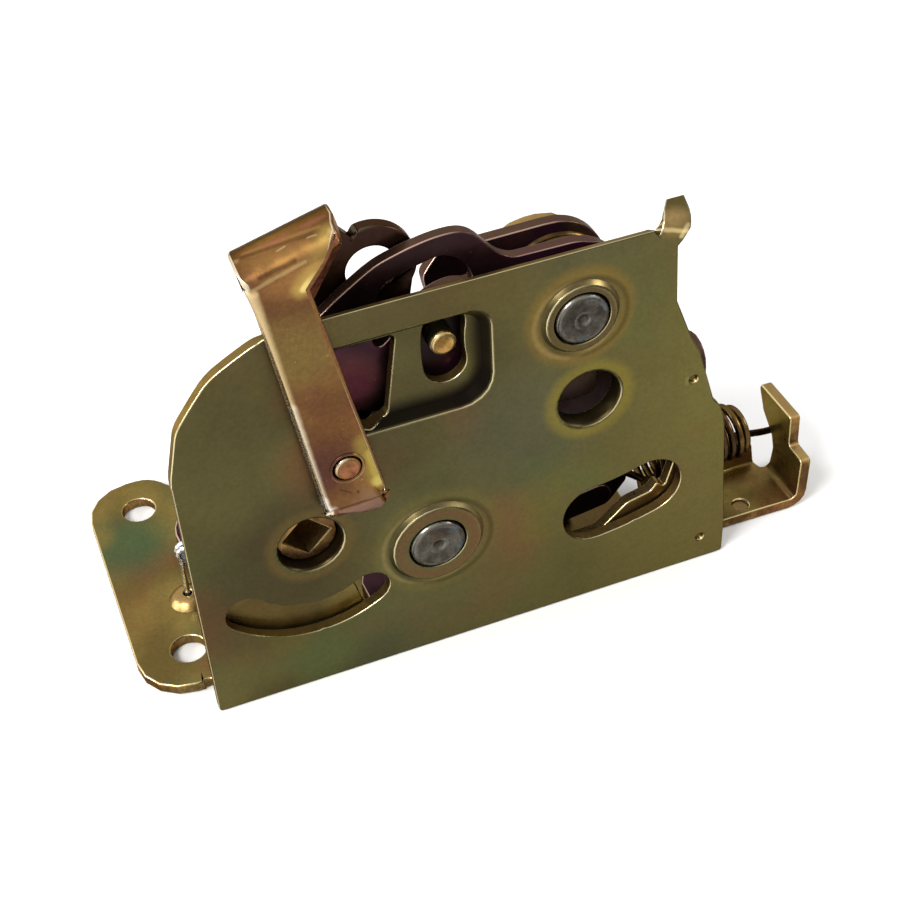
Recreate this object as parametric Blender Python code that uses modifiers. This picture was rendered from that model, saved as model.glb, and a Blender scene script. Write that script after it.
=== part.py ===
"""Car door lock: pressed side plate, folded base, stepped outer lever and the lever work between.

Lengths are in millimetres and turned into metres where a mesh is made.  Drawings use the side
plate's own frame: X to the right, Y backwards, Z up, zero at the plate's lower left front corner.
"""
import math

import bmesh
import bpy
from mathutils import Matrix, Vector

MM = 0.001
CLEARANCE = 0.3

# Screw flange and floor of the base
SCREW_HOLE_R = 3.25
SCREW_X = -1.6
SCREW_FRONT_Y = 14.9
SCREW_BACK_Y = 55.1
FLANGE_LEFT = -11.3
FLANGE_FRONT = 6.1
FLANGE_CORNER_R = 9.0
FLANGE_BACK = 63.9
BASE_SHEET = 2.2
FLOOR_BACK = 57.0
FLOOR_WIDE_X = 58.0
FLOOR_STEP_X = 88.0
FLOOR_STEP_BACK = 29.0
BASE_BEND_R = 0.6
WALL_BEND_R = 1.5
WALL_OUTER_X = 121.0
WALL_TOP = 19.0
WALL_SHOULDER = 12.0
BACK_FLANGE_Y = 17.5
BACK_FLANGE_TOP = 7.5
LEG_RIGHT_X = 94.0
LEG_LEFT_TOP = 25.0
LEG_LOW_TOP = 12.0
LEG_RIGHT_TOP = 38.0
STRIKER_X = 29.2
STRIKER_SLOT_W = 10.5
STRIKER_SLOT_FRONT = 36.0
COLLAR_X = 1.6
COLLAR_Y = 27.2
COLLAR_R = 3.9
COLLAR_HIGH = 1.6
DIMPLE_X = 108.1
DIMPLE_Y = 7.6
DIMPLE_R = 1.8
PIP_R = 0.9

# Side plate
PLATE_SHEET = 2.1
PLATE_LENGTH = 100.0
PLATE_HEIGHT = 77.7
PLATE_SHOULDER_Z = 55.0
UPPER_X = 69.9
UPPER_Z = 65.5
UPPER_BOSS_R = 7.0
LOWER_X = 42.7
LOWER_Z = 25.5
LOWER_BOSS_R = 8.8
BOSS_RISE = 0.9
SIGHT_X = 71.7
SIGHT_Z = 47.4
SIGHT_R = 5.6
HUB_X = 20.6
HUB_Z = 33.3
HUB_HOLE_R = 5.6
COLLAR_DEPTH = 1.5
COLLAR_WALL = 1.1
HUB_SLOT_IN = 13.6
HUB_SLOT_OUT = 20.8
HUB_SLOT_START = 222.0
HUB_SLOT_END = 303.0
LEVER_SLOT_IN = 39.0
LEVER_SLOT_OUT = 51.5
LEVER_SLOT_START = 274.0
LEVER_SLOT_END = 288.0
POCKET_LEFT = 24.5
POCKET_RIGHT = 54.6
POCKET_LOW = 53.3
POCKET_TOP = 72.4
POCKET_R = 5.5
POCKET_DEPTH = 1.7
POCKET_DRAFT = 1.5
PIN_ORBIT_R = 23.2
PIN_SLOT_HALF = 3.65
PIN_SLOT_START = 170.0
PIN_SLOT_END = 188.5
EAR_LEFT = 83.9
EAR_RIGHT = 89.2
EAR_SLANT = 3.4
EAR_RISE = 2.1
EAR_BACK = 5.4
EAR_BEND_R = 0.8

# Stations of the lever stack, from the side plate backwards
LEG_FRONT_Y = PLATE_SHEET + CLEARANCE
LOCKING_Y = 4.9
LOCKING_SHEET = 2.2
OUTER_REAR_Y = 7.5
OUTER_SHEET = 2.6
ARM_GAP = 1.0
LINK_SHEET = 1.6
INSIDE_Y = 12.3
INSIDE_SHEET = 2.4
REAR_Y = 17.0
REAR_SHEET = 2.2

# Feet of the rear bearing plate, folded back onto the floor and riveted
REAR_BEND_INNER = 0.6
REAR_FOOT_LEFT_X = 11.8
REAR_FOOT_RIGHT_X = 72.0
REAR_FOOT_Y = 23.4
REAR_FOOT_HALF = 4.5
REAR_FOOT_BACK = 27.5
REAR_ARCH = 13.0
RIVET_R = 1.8

# Pins
UPPER_PIN_R = 4.7
UPPER_BEARING_R = 3.7
LOWER_PIN_R = 5.0
LOWER_BEARING_R = 4.0
TAIL_END_R = 3.0
HEAD_HIGH = 1.6
PIN_PROUD = 0.5
BUSH_WALL = 2.6

# Outer lever, drawn about the lower pin; the head's bends are turned by HEAD_TILT
ARM_TILT = 11.0
HEAD_TILT = 15.0
ARM_LEFT = -16.3
ARM_TAPER = 2.1
ARM_RIGHT = -5.2
ARM_TIP = 12.8
ARM_TIP_SLANT = 4.2
ARM_TIP_FACE = 20.0
HEAD_TOP = 70.4
FRONT_BEND_R = 0.7
REAR_BEND_R = 5.6
FLARE_DROP = 10.9
FLARE_BEVEL = 3.0
EYE_ACROSS = 9.24
EYE_DROP = 17.0
EYE_R = 7.7
EYE_HOLE_R = 4.1
OUTER_HUB_R = 12.0
TAIL_Z = 8.0
TAIL_R = 4.0
STUD_R = 1.8
ARM_STUD_R = 2.55
ARM_STUD_ALONG = 27.9
ARM_STUD_ACROSS = -9.95

# Locking lever and its follower
LOCKING_HUB_R = 11.0
DRIVE_PIN_R = 2.3
DRIVE_PIN_FRONT = 1.0
DRIVE_PIN_ANGLE = 177.5
FOLLOWER_REACH = 20.0
FOLLOWER_NOSE_R = 3.2
FOLLOWER_HUB_R = 7.6
FOLLOWER_SQUARE = 6.0
FORK_GAP = 0.4

# Inside lever
INSIDE_HUB_R = 10.4
INSIDE_LUG_X = 98.0
INSIDE_LUG_TOP = 44.8
INSIDE_LUG_FRONT = 7.0
FOOT_X = 78.6
FOOT_Z = 13.2
SPRING_HOLE_X = 83.2
SPRING_HOLE_Z = 17.7
SPRING_HOLE_R = 1.6
SLOT_PLAY = 1.3
LINK_HALF = 2.7

# Springs
COIL_R = 8.9
COIL_WIRE_R = 0.7
COIL_TURNS = 1.82
MAIN_SPRING_Y = 13.5
MAIN_SPRING_Z = 16.8
MAIN_SPRING_R = 4.9
MAIN_SPRING_END_R = 4.2
MAIN_SPRING_WIRE_R = 0.7
MAIN_SPRING_LEFT = 89.0
MAIN_SPRING_RIGHT = 108.2
MAIN_SPRING_TURNS = 11
SMALL_WIRE_R = 0.4
SMALL_COIL_LENGTH = 1.8
FOLLOWER_WIRE_R = 0.55

# Claw and pawl on the floor
CLAW_LIFT = 0.4
CLAW_SHEET = 4.0
CLAW_X = 12.0
CLAW_Y = 40.0
CLAW_R = 23.0
CLAW_HUB_R = 9.0
CLAW_OPEN = 60.0
CLAW_MOUTH_W = 10.2
CLAW_MOUTH_IN = 12.0
CLAW_PIN_R = 3.2
PAWL_SHEET = 2.4
PAWL_X = 39.0
PAWL_Y = 24.5
PAWL_HUB_R = 5.0
PAWL_PIN_R = 2.4
PAWL_LUG_TOP = 9.4
PIN_HEAD_WALL = 2.0

# Worked out from the sizes above
FLOOR_TOP = BASE_SHEET
EAR_TOP = PLATE_HEIGHT + EAR_RISE
BOSS_FRONT = -BOSS_RISE
LINK_Y = OUTER_REAR_Y + OUTER_SHEET + CLEARANCE
REAR_BACK = REAR_Y + REAR_SHEET
REAR_LOW = FLOOR_TOP + CLEARANCE
REAR_FEET = ((REAR_FOOT_LEFT_X, REAR_FOOT_Y), (REAR_FOOT_RIGHT_X, REAR_FOOT_Y))
FOLLOWER_JOURNAL_R = HUB_HOLE_R - CLEARANCE
CLAW_LOW = FLOOR_TOP + CLAW_LIFT
PAWL_LOW = FLOOR_TOP + CLAW_LIFT

# The outer lever's folds: middle radii, and the places of the bends on the lever and on its flat pattern
ARM_FRONT_Y = -ARM_GAP - OUTER_SHEET
FRONT_MID = FRONT_BEND_R + OUTER_SHEET / 2.0
REAR_MID = REAR_BEND_R + OUTER_SHEET / 2.0
FRONT_BEND_AT = HEAD_TOP - FRONT_BEND_R - OUTER_SHEET
REAR_BEND_AT = HEAD_TOP - REAR_BEND_R - OUTER_SHEET
BRIDGE_START = ARM_FRONT_Y + OUTER_SHEET + FRONT_BEND_R
BRIDGE_END = OUTER_REAR_Y - REAR_BEND_R
BRIDGE_FLAT = FRONT_BEND_AT + FRONT_MID * math.pi / 2.0
REAR_ARC_FLAT = BRIDGE_FLAT + BRIDGE_END - BRIDGE_START
REAR_FLAT = REAR_ARC_FLAT + REAR_MID * math.pi / 2.0

COLOURS = {
    "plate": ((0.105, 0.092, 0.030), 0.38, 0.9),
    "base": ((0.300, 0.215, 0.075), 0.35, 0.9),
    "lever": ((0.310, 0.170, 0.065), 0.36, 0.9),
    "inner": ((0.085, 0.035, 0.045), 0.36, 0.9),
    "steel": ((0.170, 0.165, 0.160), 0.42, 0.9),
    "wire": ((0.560, 0.560, 0.550), 0.28, 1.0),
}


# Outlines as lists of points

def arc(cx, cy, radius, start, end, steps=10):
    """Points on an arc, angles in degrees from the first axis."""
    angles = [math.radians(start + (end - start) * i / steps) for i in range(steps + 1)]
    return [(cx + radius * math.cos(a), cy + radius * math.sin(a)) for a in angles]


def circle(cx, cy, radius, steps=28):
    return arc(cx, cy, radius, 0.0, 360.0, steps)[:-1]


def rounded(corners, steps=4):
    """Polygon whose corners (x, y, radius) are replaced by arcs."""
    points = []
    count = len(corners)
    for i, (x, y, radius) in enumerate(corners):
        here = Vector((x, y))
        before = (Vector(corners[i - 1][:2]) - here).normalized()
        after = (Vector(corners[(i + 1) % count][:2]) - here).normalized()
        half = before.angle(after) / 2.0
        if radius < 0.01 or half > math.radians(88.0):
            points.append((x, y))
            continue
        back = radius / math.tan(half)
        centre = here + (before + after).normalized() * (radius / math.sin(half))
        first = here + before * back - centre
        sweep = first.angle_signed(here + after * back - centre)
        for k in range(steps + 1):
            turn = Matrix.Rotation(-sweep * k / steps, 2)
            points.append(tuple(centre + turn @ first))
    return points


def arc_slot(cx, cy, inner, outer, start, end, steps=14):
    """Curved slot about a centre, with round ends centred at the start and end angles."""
    middle = (inner + outer) / 2.0
    half = (outer - inner) / 2.0
    points = arc(cx, cy, outer, start, end, steps)
    for at, low in ((end, end), (start, start + 180.0)):
        a = math.radians(at)
        cap = arc(cx + middle * math.cos(a), cy + middle * math.sin(a), half, low, low + 180.0, 8)
        if at == end:
            points += cap[1:-1] + arc(cx, cy, inner, end, start, steps)
        else:
            points += cap[1:-1]
    return points


def on_circle(cx, cy, radius, angle):
    a = math.radians(angle)
    return (cx + radius * math.cos(a), cy + radius * math.sin(a))


def curve_through(points, steps=4):
    """Closed smooth curve through hand-set points."""
    count = len(points)
    smooth = []
    for i in range(count):
        p0, p1, p2, p3 = (Vector(points[(i + k) % count]) for k in (-1, 0, 1, 2))
        for s in range(steps):
            t = s / steps
            point = 0.5 * (2.0 * p1 + (p2 - p0) * t + (2.0 * p0 - 5.0 * p1 + 4.0 * p2 - p3) * t ** 2
                           + (3.0 * p1 - p0 - 3.0 * p2 + p3) * t ** 3)
            smooth.append(tuple(point))
    return smooth


# Scene, materials and basic solids

def clear_scene():
    for old in list(bpy.data.objects):
        bpy.data.objects.remove(old, do_unlink=True)


def new_collection(name):
    collection = bpy.data.collections.new(name)
    bpy.context.scene.collection.children.link(collection)
    return collection


def make_materials():
    materials = {}
    for name, (colour, roughness, metallic) in COLOURS.items():
        material = bpy.data.materials.new(name)
        material.use_nodes = True
        shader = material.node_tree.nodes["Principled BSDF"]
        shader.inputs["Base Color"].default_value = (*colour, 1.0)
        shader.inputs["Roughness"].default_value = roughness
        shader.inputs["Metallic"].default_value = metallic
        materials[name] = material
    return materials


clear_scene()
PARTS = new_collection("car_door_lock")
CUTTERS = new_collection("cutters")
MATERIALS = make_materials()
FRAME = bpy.data.objects.new("plate_frame", None)
FRAME.location = (-SCREW_X * MM, -(SCREW_FRONT_Y + SCREW_BACK_Y) / 2.0 * MM, 0.0)
PARTS.objects.link(FRAME)


def add_object(name, mesh, finish):
    item = bpy.data.objects.new(name, mesh)
    if finish is None:
        CUTTERS.objects.link(item)
        item.hide_render = True
        item.display_type = "WIRE"
    else:
        PARTS.objects.link(item)
        mesh.materials.clear()
        mesh.materials.append(MATERIALS[finish])
        mesh.shade_smooth()
        mesh.set_sharp_from_angle(angle=math.radians(30.0))
    item.parent = FRAME
    return item


def curve_mesh(curve, name):
    """Turn a curve into one closed mesh and remove the curve."""
    holder = bpy.data.objects.new(name, curve)
    PARTS.objects.link(holder)
    graph = bpy.context.evaluated_depsgraph_get()
    mesh = bpy.data.meshes.new_from_object(holder.evaluated_get(graph))
    bpy.data.objects.remove(holder, do_unlink=True)
    bpy.data.curves.remove(curve)
    bm = bmesh.new()
    bm.from_mesh(mesh)
    bmesh.ops.remove_doubles(bm, verts=bm.verts, dist=0.000001)
    bm.to_mesh(mesh)
    bm.free()
    mesh.name = name
    return mesh


def slab(name, loops, thickness):
    """Flat slab of an outline with holes, in local XY, from z = 0 up."""
    curve = bpy.data.curves.new(name, "CURVE")
    curve.dimensions = "2D"
    curve.fill_mode = "BOTH"
    curve.extrude = thickness / 2.0 * MM
    for loop in loops:
        spline = curve.splines.new("POLY")
        spline.points.add(len(loop) - 1)
        for point, (x, y) in zip(spline.points, loop):
            point.co = (x * MM, y * MM, 0.0, 1.0)
        spline.use_cyclic_u = True
    mesh = curve_mesh(curve, name)
    mesh.transform(Matrix.Translation((0.0, 0.0, thickness / 2.0 * MM)))
    return mesh


def upright(front):
    """Local XY slab to a sheet standing in XZ, its outside face (local z = 0) at Y = front."""
    return Matrix(((1, 0, 0, 0), (0, 0, 1, front * MM), (0, 1, 0, 0), (0, 0, 0, 1)))


def place(mesh, matrix):
    """Apply a matrix and keep the faces pointing out if it mirrors."""
    mesh.transform(matrix)
    if matrix.determinant() < 0.0:
        mesh.flip_normals()
    return mesh


def sheet(name, loops, front, thickness, finish):
    """Sheet part parallel to the side plate."""
    return add_object(name, place(slab(name, loops, thickness), upright(front)), finish)


def floor_sheet(name, loops, low, thickness, finish):
    """Sheet part parallel to the floor."""
    mesh = slab(name, loops, thickness)
    mesh.transform(Matrix.Translation((0.0, 0.0, low * MM)))
    return add_object(name, mesh, finish)


def fold(mesh, line, side, radius, thickness, axis, steps=4, limit=None):
    """Fold a slab by 90 degrees towards local +z beyond a line on local x (axis 0) or y (axis 1).

    radius is the inner bend radius; the sheet's middle keeps its length.
    """
    middle = radius + thickness / 2.0
    length = middle * math.pi / 2.0
    bm = bmesh.new()
    bm.from_mesh(mesh)
    normal = Vector((1.0, 0.0, 0.0)) if axis == 0 else Vector((0.0, 1.0, 0.0))
    for i in range(steps + 1):
        cut = (line + side * length * i / steps) * MM
        faces = [f for f in bm.faces if limit is None or all(limit(v.co / MM) for v in f.verts)]
        edges = {e for f in faces for e in f.edges}
        verts = {v for f in faces for v in f.verts}
        bmesh.ops.bisect_plane(bm, geom=faces + list(edges) + list(verts), dist=0.0000001,
                               plane_co=normal * cut, plane_no=normal)
    for vert in bm.verts:
        if limit is not None and not limit(vert.co / MM):
            continue
        along = side * (vert.co[axis] / MM - line)
        if along <= 0.0:
            continue
        height = vert.co.z / MM - thickness / 2.0
        turn = min(along / middle, math.pi / 2.0)
        reach = middle - height
        beyond = max(along - length, 0.0)
        vert.co[axis] = (line + side * reach * math.sin(turn)) * MM
        vert.co.z = (thickness / 2.0 + middle - reach * math.cos(turn) + beyond) * MM
    bm.to_mesh(mesh)
    bm.free()
    return mesh


def folded_length(height, radius, thickness):
    """Distance on the flat from the bend line to a height on the folded flap."""
    middle = radius + thickness / 2.0
    return middle * math.pi / 2.0 + height - (radius + thickness)


def turned(name, profile, x, z, finish, steps=24, axis="Y"):
    """Turned part about an axis along Y or Z; profile is (radius, station), high station first."""
    mesh = bpy.data.meshes.new(name)
    closed = profile[0][0] > 0.001
    count = len(profile)
    edges = [(i, i + 1) for i in range(count - 1)]
    if closed:
        edges.append((count - 1, 0))
    mesh.from_pydata([(r * MM, 0.0, s * MM) for r, s in profile], edges, [])
    item = add_object(name, mesh, finish)
    screw = item.modifiers.new("turning", "SCREW")
    screw.steps = steps
    screw.render_steps = steps
    screw.use_merge_vertices = True
    screw.merge_threshold = 0.000001
    screw.use_smooth_shade = finish is not None
    if axis == "Y":
        item.location = (x * MM, 0.0, z * MM)
        item.rotation_euler = (-math.pi / 2.0, 0.0, 0.0)
    else:
        item.location = (x * MM, z * MM, 0.0)
    return item


def wire(name, points, radius, finish, sides=2):
    """Round wire through points in the plate frame."""
    curve = bpy.data.curves.new(name, "CURVE")
    curve.dimensions = "3D"
    curve.bevel_depth = radius * MM
    curve.bevel_resolution = sides
    curve.use_fill_caps = True
    spline = curve.splines.new("POLY")
    spline.points.add(len(points) - 1)
    for point, (x, y, z) in zip(spline.points, points):
        point.co = (x * MM, y * MM, z * MM, 1.0)
    return add_object(name, curve_mesh(curve, name), finish)


def boolean(target, tool, operation):
    target.data.shade_flat()
    modifier = target.modifiers.new(tool.name, "BOOLEAN")
    modifier.operation = operation
    modifier.object = tool
    modifier.solver = "EXACT"


def cut(target, tool):
    boolean(target, tool, "DIFFERENCE")


def join(target, tool):
    boolean(target, tool, "UNION")


def set_origin(item, x, y, z):
    """Move an object's origin to its joint axis and keep its mesh where it is."""
    item.data.transform(Matrix.Translation((-x * MM, -y * MM, -z * MM)))
    item.location = (x * MM, y * MM, z * MM)


# Side plate

def make_main_plate():
    flat_top = EAR_TOP - EAR_BEND_R - PLATE_SHEET
    ear_flat = flat_top + folded_length(EAR_BACK, EAR_BEND_R, PLATE_SHEET)
    left = [(0.0, 0.0, 0.6), (0.0, PLATE_SHOULDER_Z, 12.0), (2.3, 64.6, 8.0), (8.5, 72.7, 12.0),
            (17.3, PLATE_HEIGHT - 0.3, 12.0), (23.0, PLATE_HEIGHT, 0.0)]
    ear = [(EAR_LEFT - 1.2, PLATE_HEIGHT), (EAR_LEFT - 0.2, flat_top), (EAR_LEFT + EAR_SLANT, ear_flat),
           (EAR_RIGHT + 0.4 * EAR_SLANT, ear_flat), (EAR_RIGHT, flat_top)]
    right = [(87.1, 74.0), (87.5, 63.0), (90.8, 54.0), (93.1, 48.5), (95.8, 39.0), (97.3, 37.0),
             (98.5, 32.0), (99.1, 21.0), (PLATE_LENGTH, 8.0)]
    corners = left + [(x, z, 0.0) for x, z in ear + right] + [(PLATE_LENGTH, 0.0, 0.6)]
    loops = [rounded(corners, 3),
             arc_slot(HUB_X, HUB_Z, HUB_SLOT_IN, HUB_SLOT_OUT, HUB_SLOT_START, HUB_SLOT_END),
             arc_slot(UPPER_X, UPPER_Z, LEVER_SLOT_IN, LEVER_SLOT_OUT, LEVER_SLOT_START,
                      LEVER_SLOT_END, 6)]
    mesh = fold(slab("main_plate", loops, PLATE_SHEET), flat_top, 1.0, EAR_BEND_R, PLATE_SHEET, 1)
    plate = add_object("main_plate", place(mesh, upright(0.0)), "plate")
    for label, x, z, radius, pin in (("upper", UPPER_X, UPPER_Z, UPPER_BOSS_R, UPPER_PIN_R),
                                     ("lower", LOWER_X, LOWER_Z, LOWER_BOSS_R, LOWER_PIN_R)):
        add_boss(plate, label, x, z, radius, pin + CLEARANCE)
    add_pocket(plate)
    for label, x, z, radius in (("sight", SIGHT_X, SIGHT_Z, SIGHT_R), ("hub", HUB_X, HUB_Z, HUB_HOLE_R)):
        add_rolled_collar(plate, label, x, z, radius)
    pip = [(0.0, 0.8), (PIP_R * 0.6, 0.7), (PIP_R, 0.0), (PIP_R, -0.5), (0.0, -0.5)]
    for label, x, z in (("high", PLATE_LENGTH - 8.5, 45.0), ("low", PLATE_LENGTH - 5.0, 5.4)):
        cut(plate, turned(label + "_pip", pip, x, z, None, 14))
    return plate


def add_boss(plate, label, x, z, radius, hole_r):
    """Round boss pressed out to the front, hollow behind, with the pin's hole."""
    slope = 0.7
    wall = 0.9
    rise = [(0.0, 0.6), (radius, 0.6), (radius, 0.0), (radius - slope, BOSS_FRONT), (0.0, BOSS_FRONT)]
    back = PLATE_SHEET + 0.4
    recess_r = radius - wall
    recess = [(0.0, back), (recess_r + slope * 0.4, back), (recess_r - slope, PLATE_SHEET - BOSS_RISE),
              (0.0, PLATE_SHEET - BOSS_RISE)]
    hole = [(0.0, back), (hole_r, back), (hole_r, BOSS_FRONT - 1.0), (0.0, BOSS_FRONT - 1.0)]
    join(plate, turned(label + "_boss_form", rise, x, z, None, 28))
    cut(plate, turned(label + "_boss_recess", recess, x, z, None, 28))
    cut(plate, turned(label + "_boss_hole", hole, x, z, None, 26))


def add_rolled_collar(plate, label, x, z, radius):
    """Hole with its rim rolled inwards."""
    outer = radius + COLLAR_WALL
    deep = PLATE_SHEET + COLLAR_DEPTH
    roll = 0.8
    collar = [(0.0, deep), (outer, deep), (outer, PLATE_SHEET / 2.0), (0.0, PLATE_SHEET / 2.0)]
    bore = [(0.0, deep + roll), (radius, deep + roll), (radius, roll), (radius + roll * 0.25, roll * 0.3),
            (radius + roll, -roll * 0.3), (0.0, -roll * 0.3)]
    join(plate, turned(label + "_collar", collar, x, z, None, 24))
    cut(plate, turned(label + "_bore", bore, x, z, None, 26))


def tapered_block(name, outline, centre, front, back, grow_back):
    """Prism along Y whose back end is grown or shrunk by a margin on every side."""
    mesh = place(slab(name, [outline], back - front), upright(front))
    width = max(p[0] for p in outline) - min(p[0] for p in outline)
    height = max(p[1] for p in outline) - min(p[1] for p in outline)
    for vert in mesh.vertices:
        if vert.co.y > (front + back) / 2.0 * MM:
            vert.co.x = centre[0] * MM + (vert.co.x - centre[0] * MM) * (1.0 + 2.0 * grow_back / width)
            vert.co.z = centre[1] * MM + (vert.co.z - centre[1] * MM) * (1.0 + 2.0 * grow_back / height)
    return add_object(name, mesh, None)


def pocket_outline(margin):
    low = POCKET_LOW - margin
    top = POCKET_TOP + margin
    left = POCKET_LEFT - margin
    right = POCKET_RIGHT + margin
    radius = POCKET_R + margin
    return rounded([(left, low, radius), (right, low, radius), (right, top, radius - 2.0),
                    (left, top, radius - 2.0)], 5)


def add_pocket(plate):
    """Shallow pocket pressed inwards, its window and the drive pin's curved slot."""
    centre = ((POCKET_LEFT + POCKET_RIGHT) / 2.0, (POCKET_LOW + POCKET_TOP) / 2.0)
    deep = POCKET_DEPTH + PLATE_SHEET
    step = PLATE_SHEET - 0.3
    join(plate, tapered_block("pocket_form", pocket_outline(0.7), centre, step, deep, -POCKET_DRAFT))
    overcut = 0.5
    grow = POCKET_DRAFT * overcut / POCKET_DEPTH
    cut(plate, tapered_block("pocket_press", pocket_outline(grow), centre, -overcut, POCKET_DEPTH,
                             -POCKET_DRAFT - grow))
    window = rounded([(27.0, 55.4, 2.0), (33.3, 53.9, 1.5), (36.6, 55.2, 1.5), (37.8, 63.0, 0.0),
                      (39.0, 70.6, 1.0), (27.0, 70.6, 1.0)], 3)
    window_tool = sheet("pocket_window", [window], 0.6, deep, None)
    slot = arc_slot(UPPER_X, UPPER_Z, PIN_ORBIT_R - PIN_SLOT_HALF, PIN_ORBIT_R + PIN_SLOT_HALF,
                    PIN_SLOT_START, PIN_SLOT_END, 6)
    slot_tool = sheet("pin_slot", [slot], 0.6, deep, None)
    cut(plate, window_tool)
    cut(plate, slot_tool)


# Folded base

def make_base_frame():
    leg_mid = LEG_FRONT_Y + BASE_SHEET / 2.0
    front_line = leg_mid + BASE_BEND_R + BASE_SHEET / 2.0
    wall_line = WALL_OUTER_X - BASE_SHEET - WALL_BEND_R
    back_line = BACK_FLANGE_Y - BASE_BEND_R

    def leg(x, height, radius=0.0):
        return (x, front_line - folded_length(height, BASE_BEND_R, BASE_SHEET), radius)

    def wall(y, height, radius=0.0):
        return (wall_line + folded_length(height, WALL_BEND_R, BASE_SHEET), y, radius)

    def back(x, height, radius=0.0):
        return (x, back_line + folded_length(height, BASE_BEND_R, BASE_SHEET), radius)

    relief = 1.2
    flange_left_mid = FLANGE_LEFT + FLANGE_CORNER_R
    corners = [
        (FLANGE_LEFT, FLANGE_FRONT, FLANGE_CORNER_R), (-relief, FLANGE_FRONT, 0.0),
        (-relief, front_line + relief, 0.5), (0.6, front_line + relief, 0.5), (0.6, front_line, 0.0),
        leg(0.6, LEG_LEFT_TOP, 3.0), leg(26.0, LEG_LEFT_TOP, 2.5), leg(28.6, 16.0, 1.5),
        leg(29.4, LEG_LOW_TOP, 1.5), leg(LEG_RIGHT_X - 19.0, LEG_LOW_TOP + 0.8, 3.0),
        leg(LEG_RIGHT_X - 13.4, 17.8, 3.0), leg(LEG_RIGHT_X - 8.6, 18.9, 1.0),
        leg(LEG_RIGHT_X - 7.2, 20.8, 0.6), leg(LEG_RIGHT_X - 5.9, 18.8, 0.5),
        leg(LEG_RIGHT_X - 4.4, 24.0, 1.0), leg(LEG_RIGHT_X - 3.8, LEG_RIGHT_TOP, 1.6),
        leg(LEG_RIGHT_X, LEG_RIGHT_TOP, 1.6), (LEG_RIGHT_X, front_line, 0.0),
        (wall_line, front_line - 0.4, 0.0),
        wall(4.6, 4.2), wall(4.4, WALL_SHOULDER, 1.0), wall(9.3, WALL_SHOULDER + 0.3, 0.8),
        wall(9.6, WALL_TOP, 0.9), wall(21.7, WALL_TOP, 0.9), wall(21.2, 17.4, 1.0), wall(19.4, 13.6, 2.0),
        wall(15.6, 10.2, 2.0), wall(14.7, 7.6, 2.0), wall(15.2, 4.0, 0.0), (wall_line - 0.2, 15.6, 0.6),
        (wall_line - 0.6, back_line, 0.0), back(wall_line - 1.6, BACK_FLANGE_TOP, 0.8),
        back(FLOOR_STEP_X + 3.0, BACK_FLANGE_TOP, 1.0), (FLOOR_STEP_X + 3.0, back_line - relief, 0.5),
        (FLOOR_STEP_X, back_line - relief, 0.5), (FLOOR_STEP_X, FLOOR_STEP_BACK, 4.0),
        (FLOOR_WIDE_X + 5.0, FLOOR_STEP_BACK, 6.0), (FLOOR_WIDE_X, FLOOR_BACK, 6.0),
        (STRIKER_X + STRIKER_SLOT_W / 2.0, FLOOR_BACK, 1.5),
        (STRIKER_X + STRIKER_SLOT_W / 2.0, STRIKER_SLOT_FRONT, 5.0),
        (STRIKER_X - STRIKER_SLOT_W / 2.0, STRIKER_SLOT_FRONT, 5.0),
        (STRIKER_X - STRIKER_SLOT_W / 2.0, FLOOR_BACK, 1.5),
        (FLANGE_LEFT + 2.0 * FLANGE_CORNER_R + 1.2, FLOOR_BACK, 2.0),
        (flange_left_mid + FLANGE_CORNER_R * 0.55, FLANGE_BACK, 6.0),
        (FLANGE_LEFT, FLANGE_BACK, FLANGE_CORNER_R)]
    loops = [rounded(corners, 4),
             circle(SCREW_X, SCREW_FRONT_Y, SCREW_HOLE_R), circle(SCREW_X, SCREW_BACK_Y, SCREW_HOLE_R),
             circle(CLAW_X, CLAW_Y, CLAW_PIN_R + CLEARANCE), circle(PAWL_X, PAWL_Y, PAWL_PIN_R + CLEARANCE)]
    loops += [circle(x, y, RIVET_R + CLEARANCE, 16) for x, y in REAR_FEET]
    flat = slab("base_frame", loops, BASE_SHEET)
    fold(flat, front_line, -1.0, BASE_BEND_R, BASE_SHEET, 1,
         limit=lambda p: p.y < front_line + 0.01 and 0.3 < p.x < LEG_RIGHT_X + 0.3)
    fold(flat, back_line, 1.0, BASE_BEND_R, BASE_SHEET, 1,
         limit=lambda p: p.y > back_line - 0.01 and FLOOR_STEP_X + 0.5 < p.x < wall_line and p.y < 40.0)
    fold(flat, wall_line, 1.0, WALL_BEND_R, BASE_SHEET, 0)
    base = add_object("base_frame", flat, "base")
    top = FLOOR_TOP + COLLAR_HIGH
    sunk = BASE_SHEET / 3.0
    dome = [(0.0, top), (COLLAR_R * 0.45, top), (COLLAR_R * 0.75, top - COLLAR_HIGH * 0.35),
            (COLLAR_R + sunk / 2.0, FLOOR_TOP - sunk), (0.0, FLOOR_TOP - sunk)]
    bore_r = FOLLOWER_WIRE_R + CLEARANCE
    bore = [(0.0, top + sunk), (bore_r, top + sunk), (bore_r, -sunk), (0.0, -sunk)]
    join(base, turned("spring_collar", dome, COLLAR_X, COLLAR_Y, None, 24, "Z"))
    cut(base, turned("spring_bore", bore, COLLAR_X, COLLAR_Y, None, 12, "Z"))
    dimple = [(0.0, FLOOR_TOP + 0.5), (DIMPLE_R, FLOOR_TOP + 0.5), (DIMPLE_R - 0.3, FLOOR_TOP - 0.5),
              (0.0, FLOOR_TOP - 0.5)]
    cut(base, turned("dimple", dimple, DIMPLE_X, DIMPLE_Y, None, 16, "Z"))
    return base


# Rear bearing plate and its rivets

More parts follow.
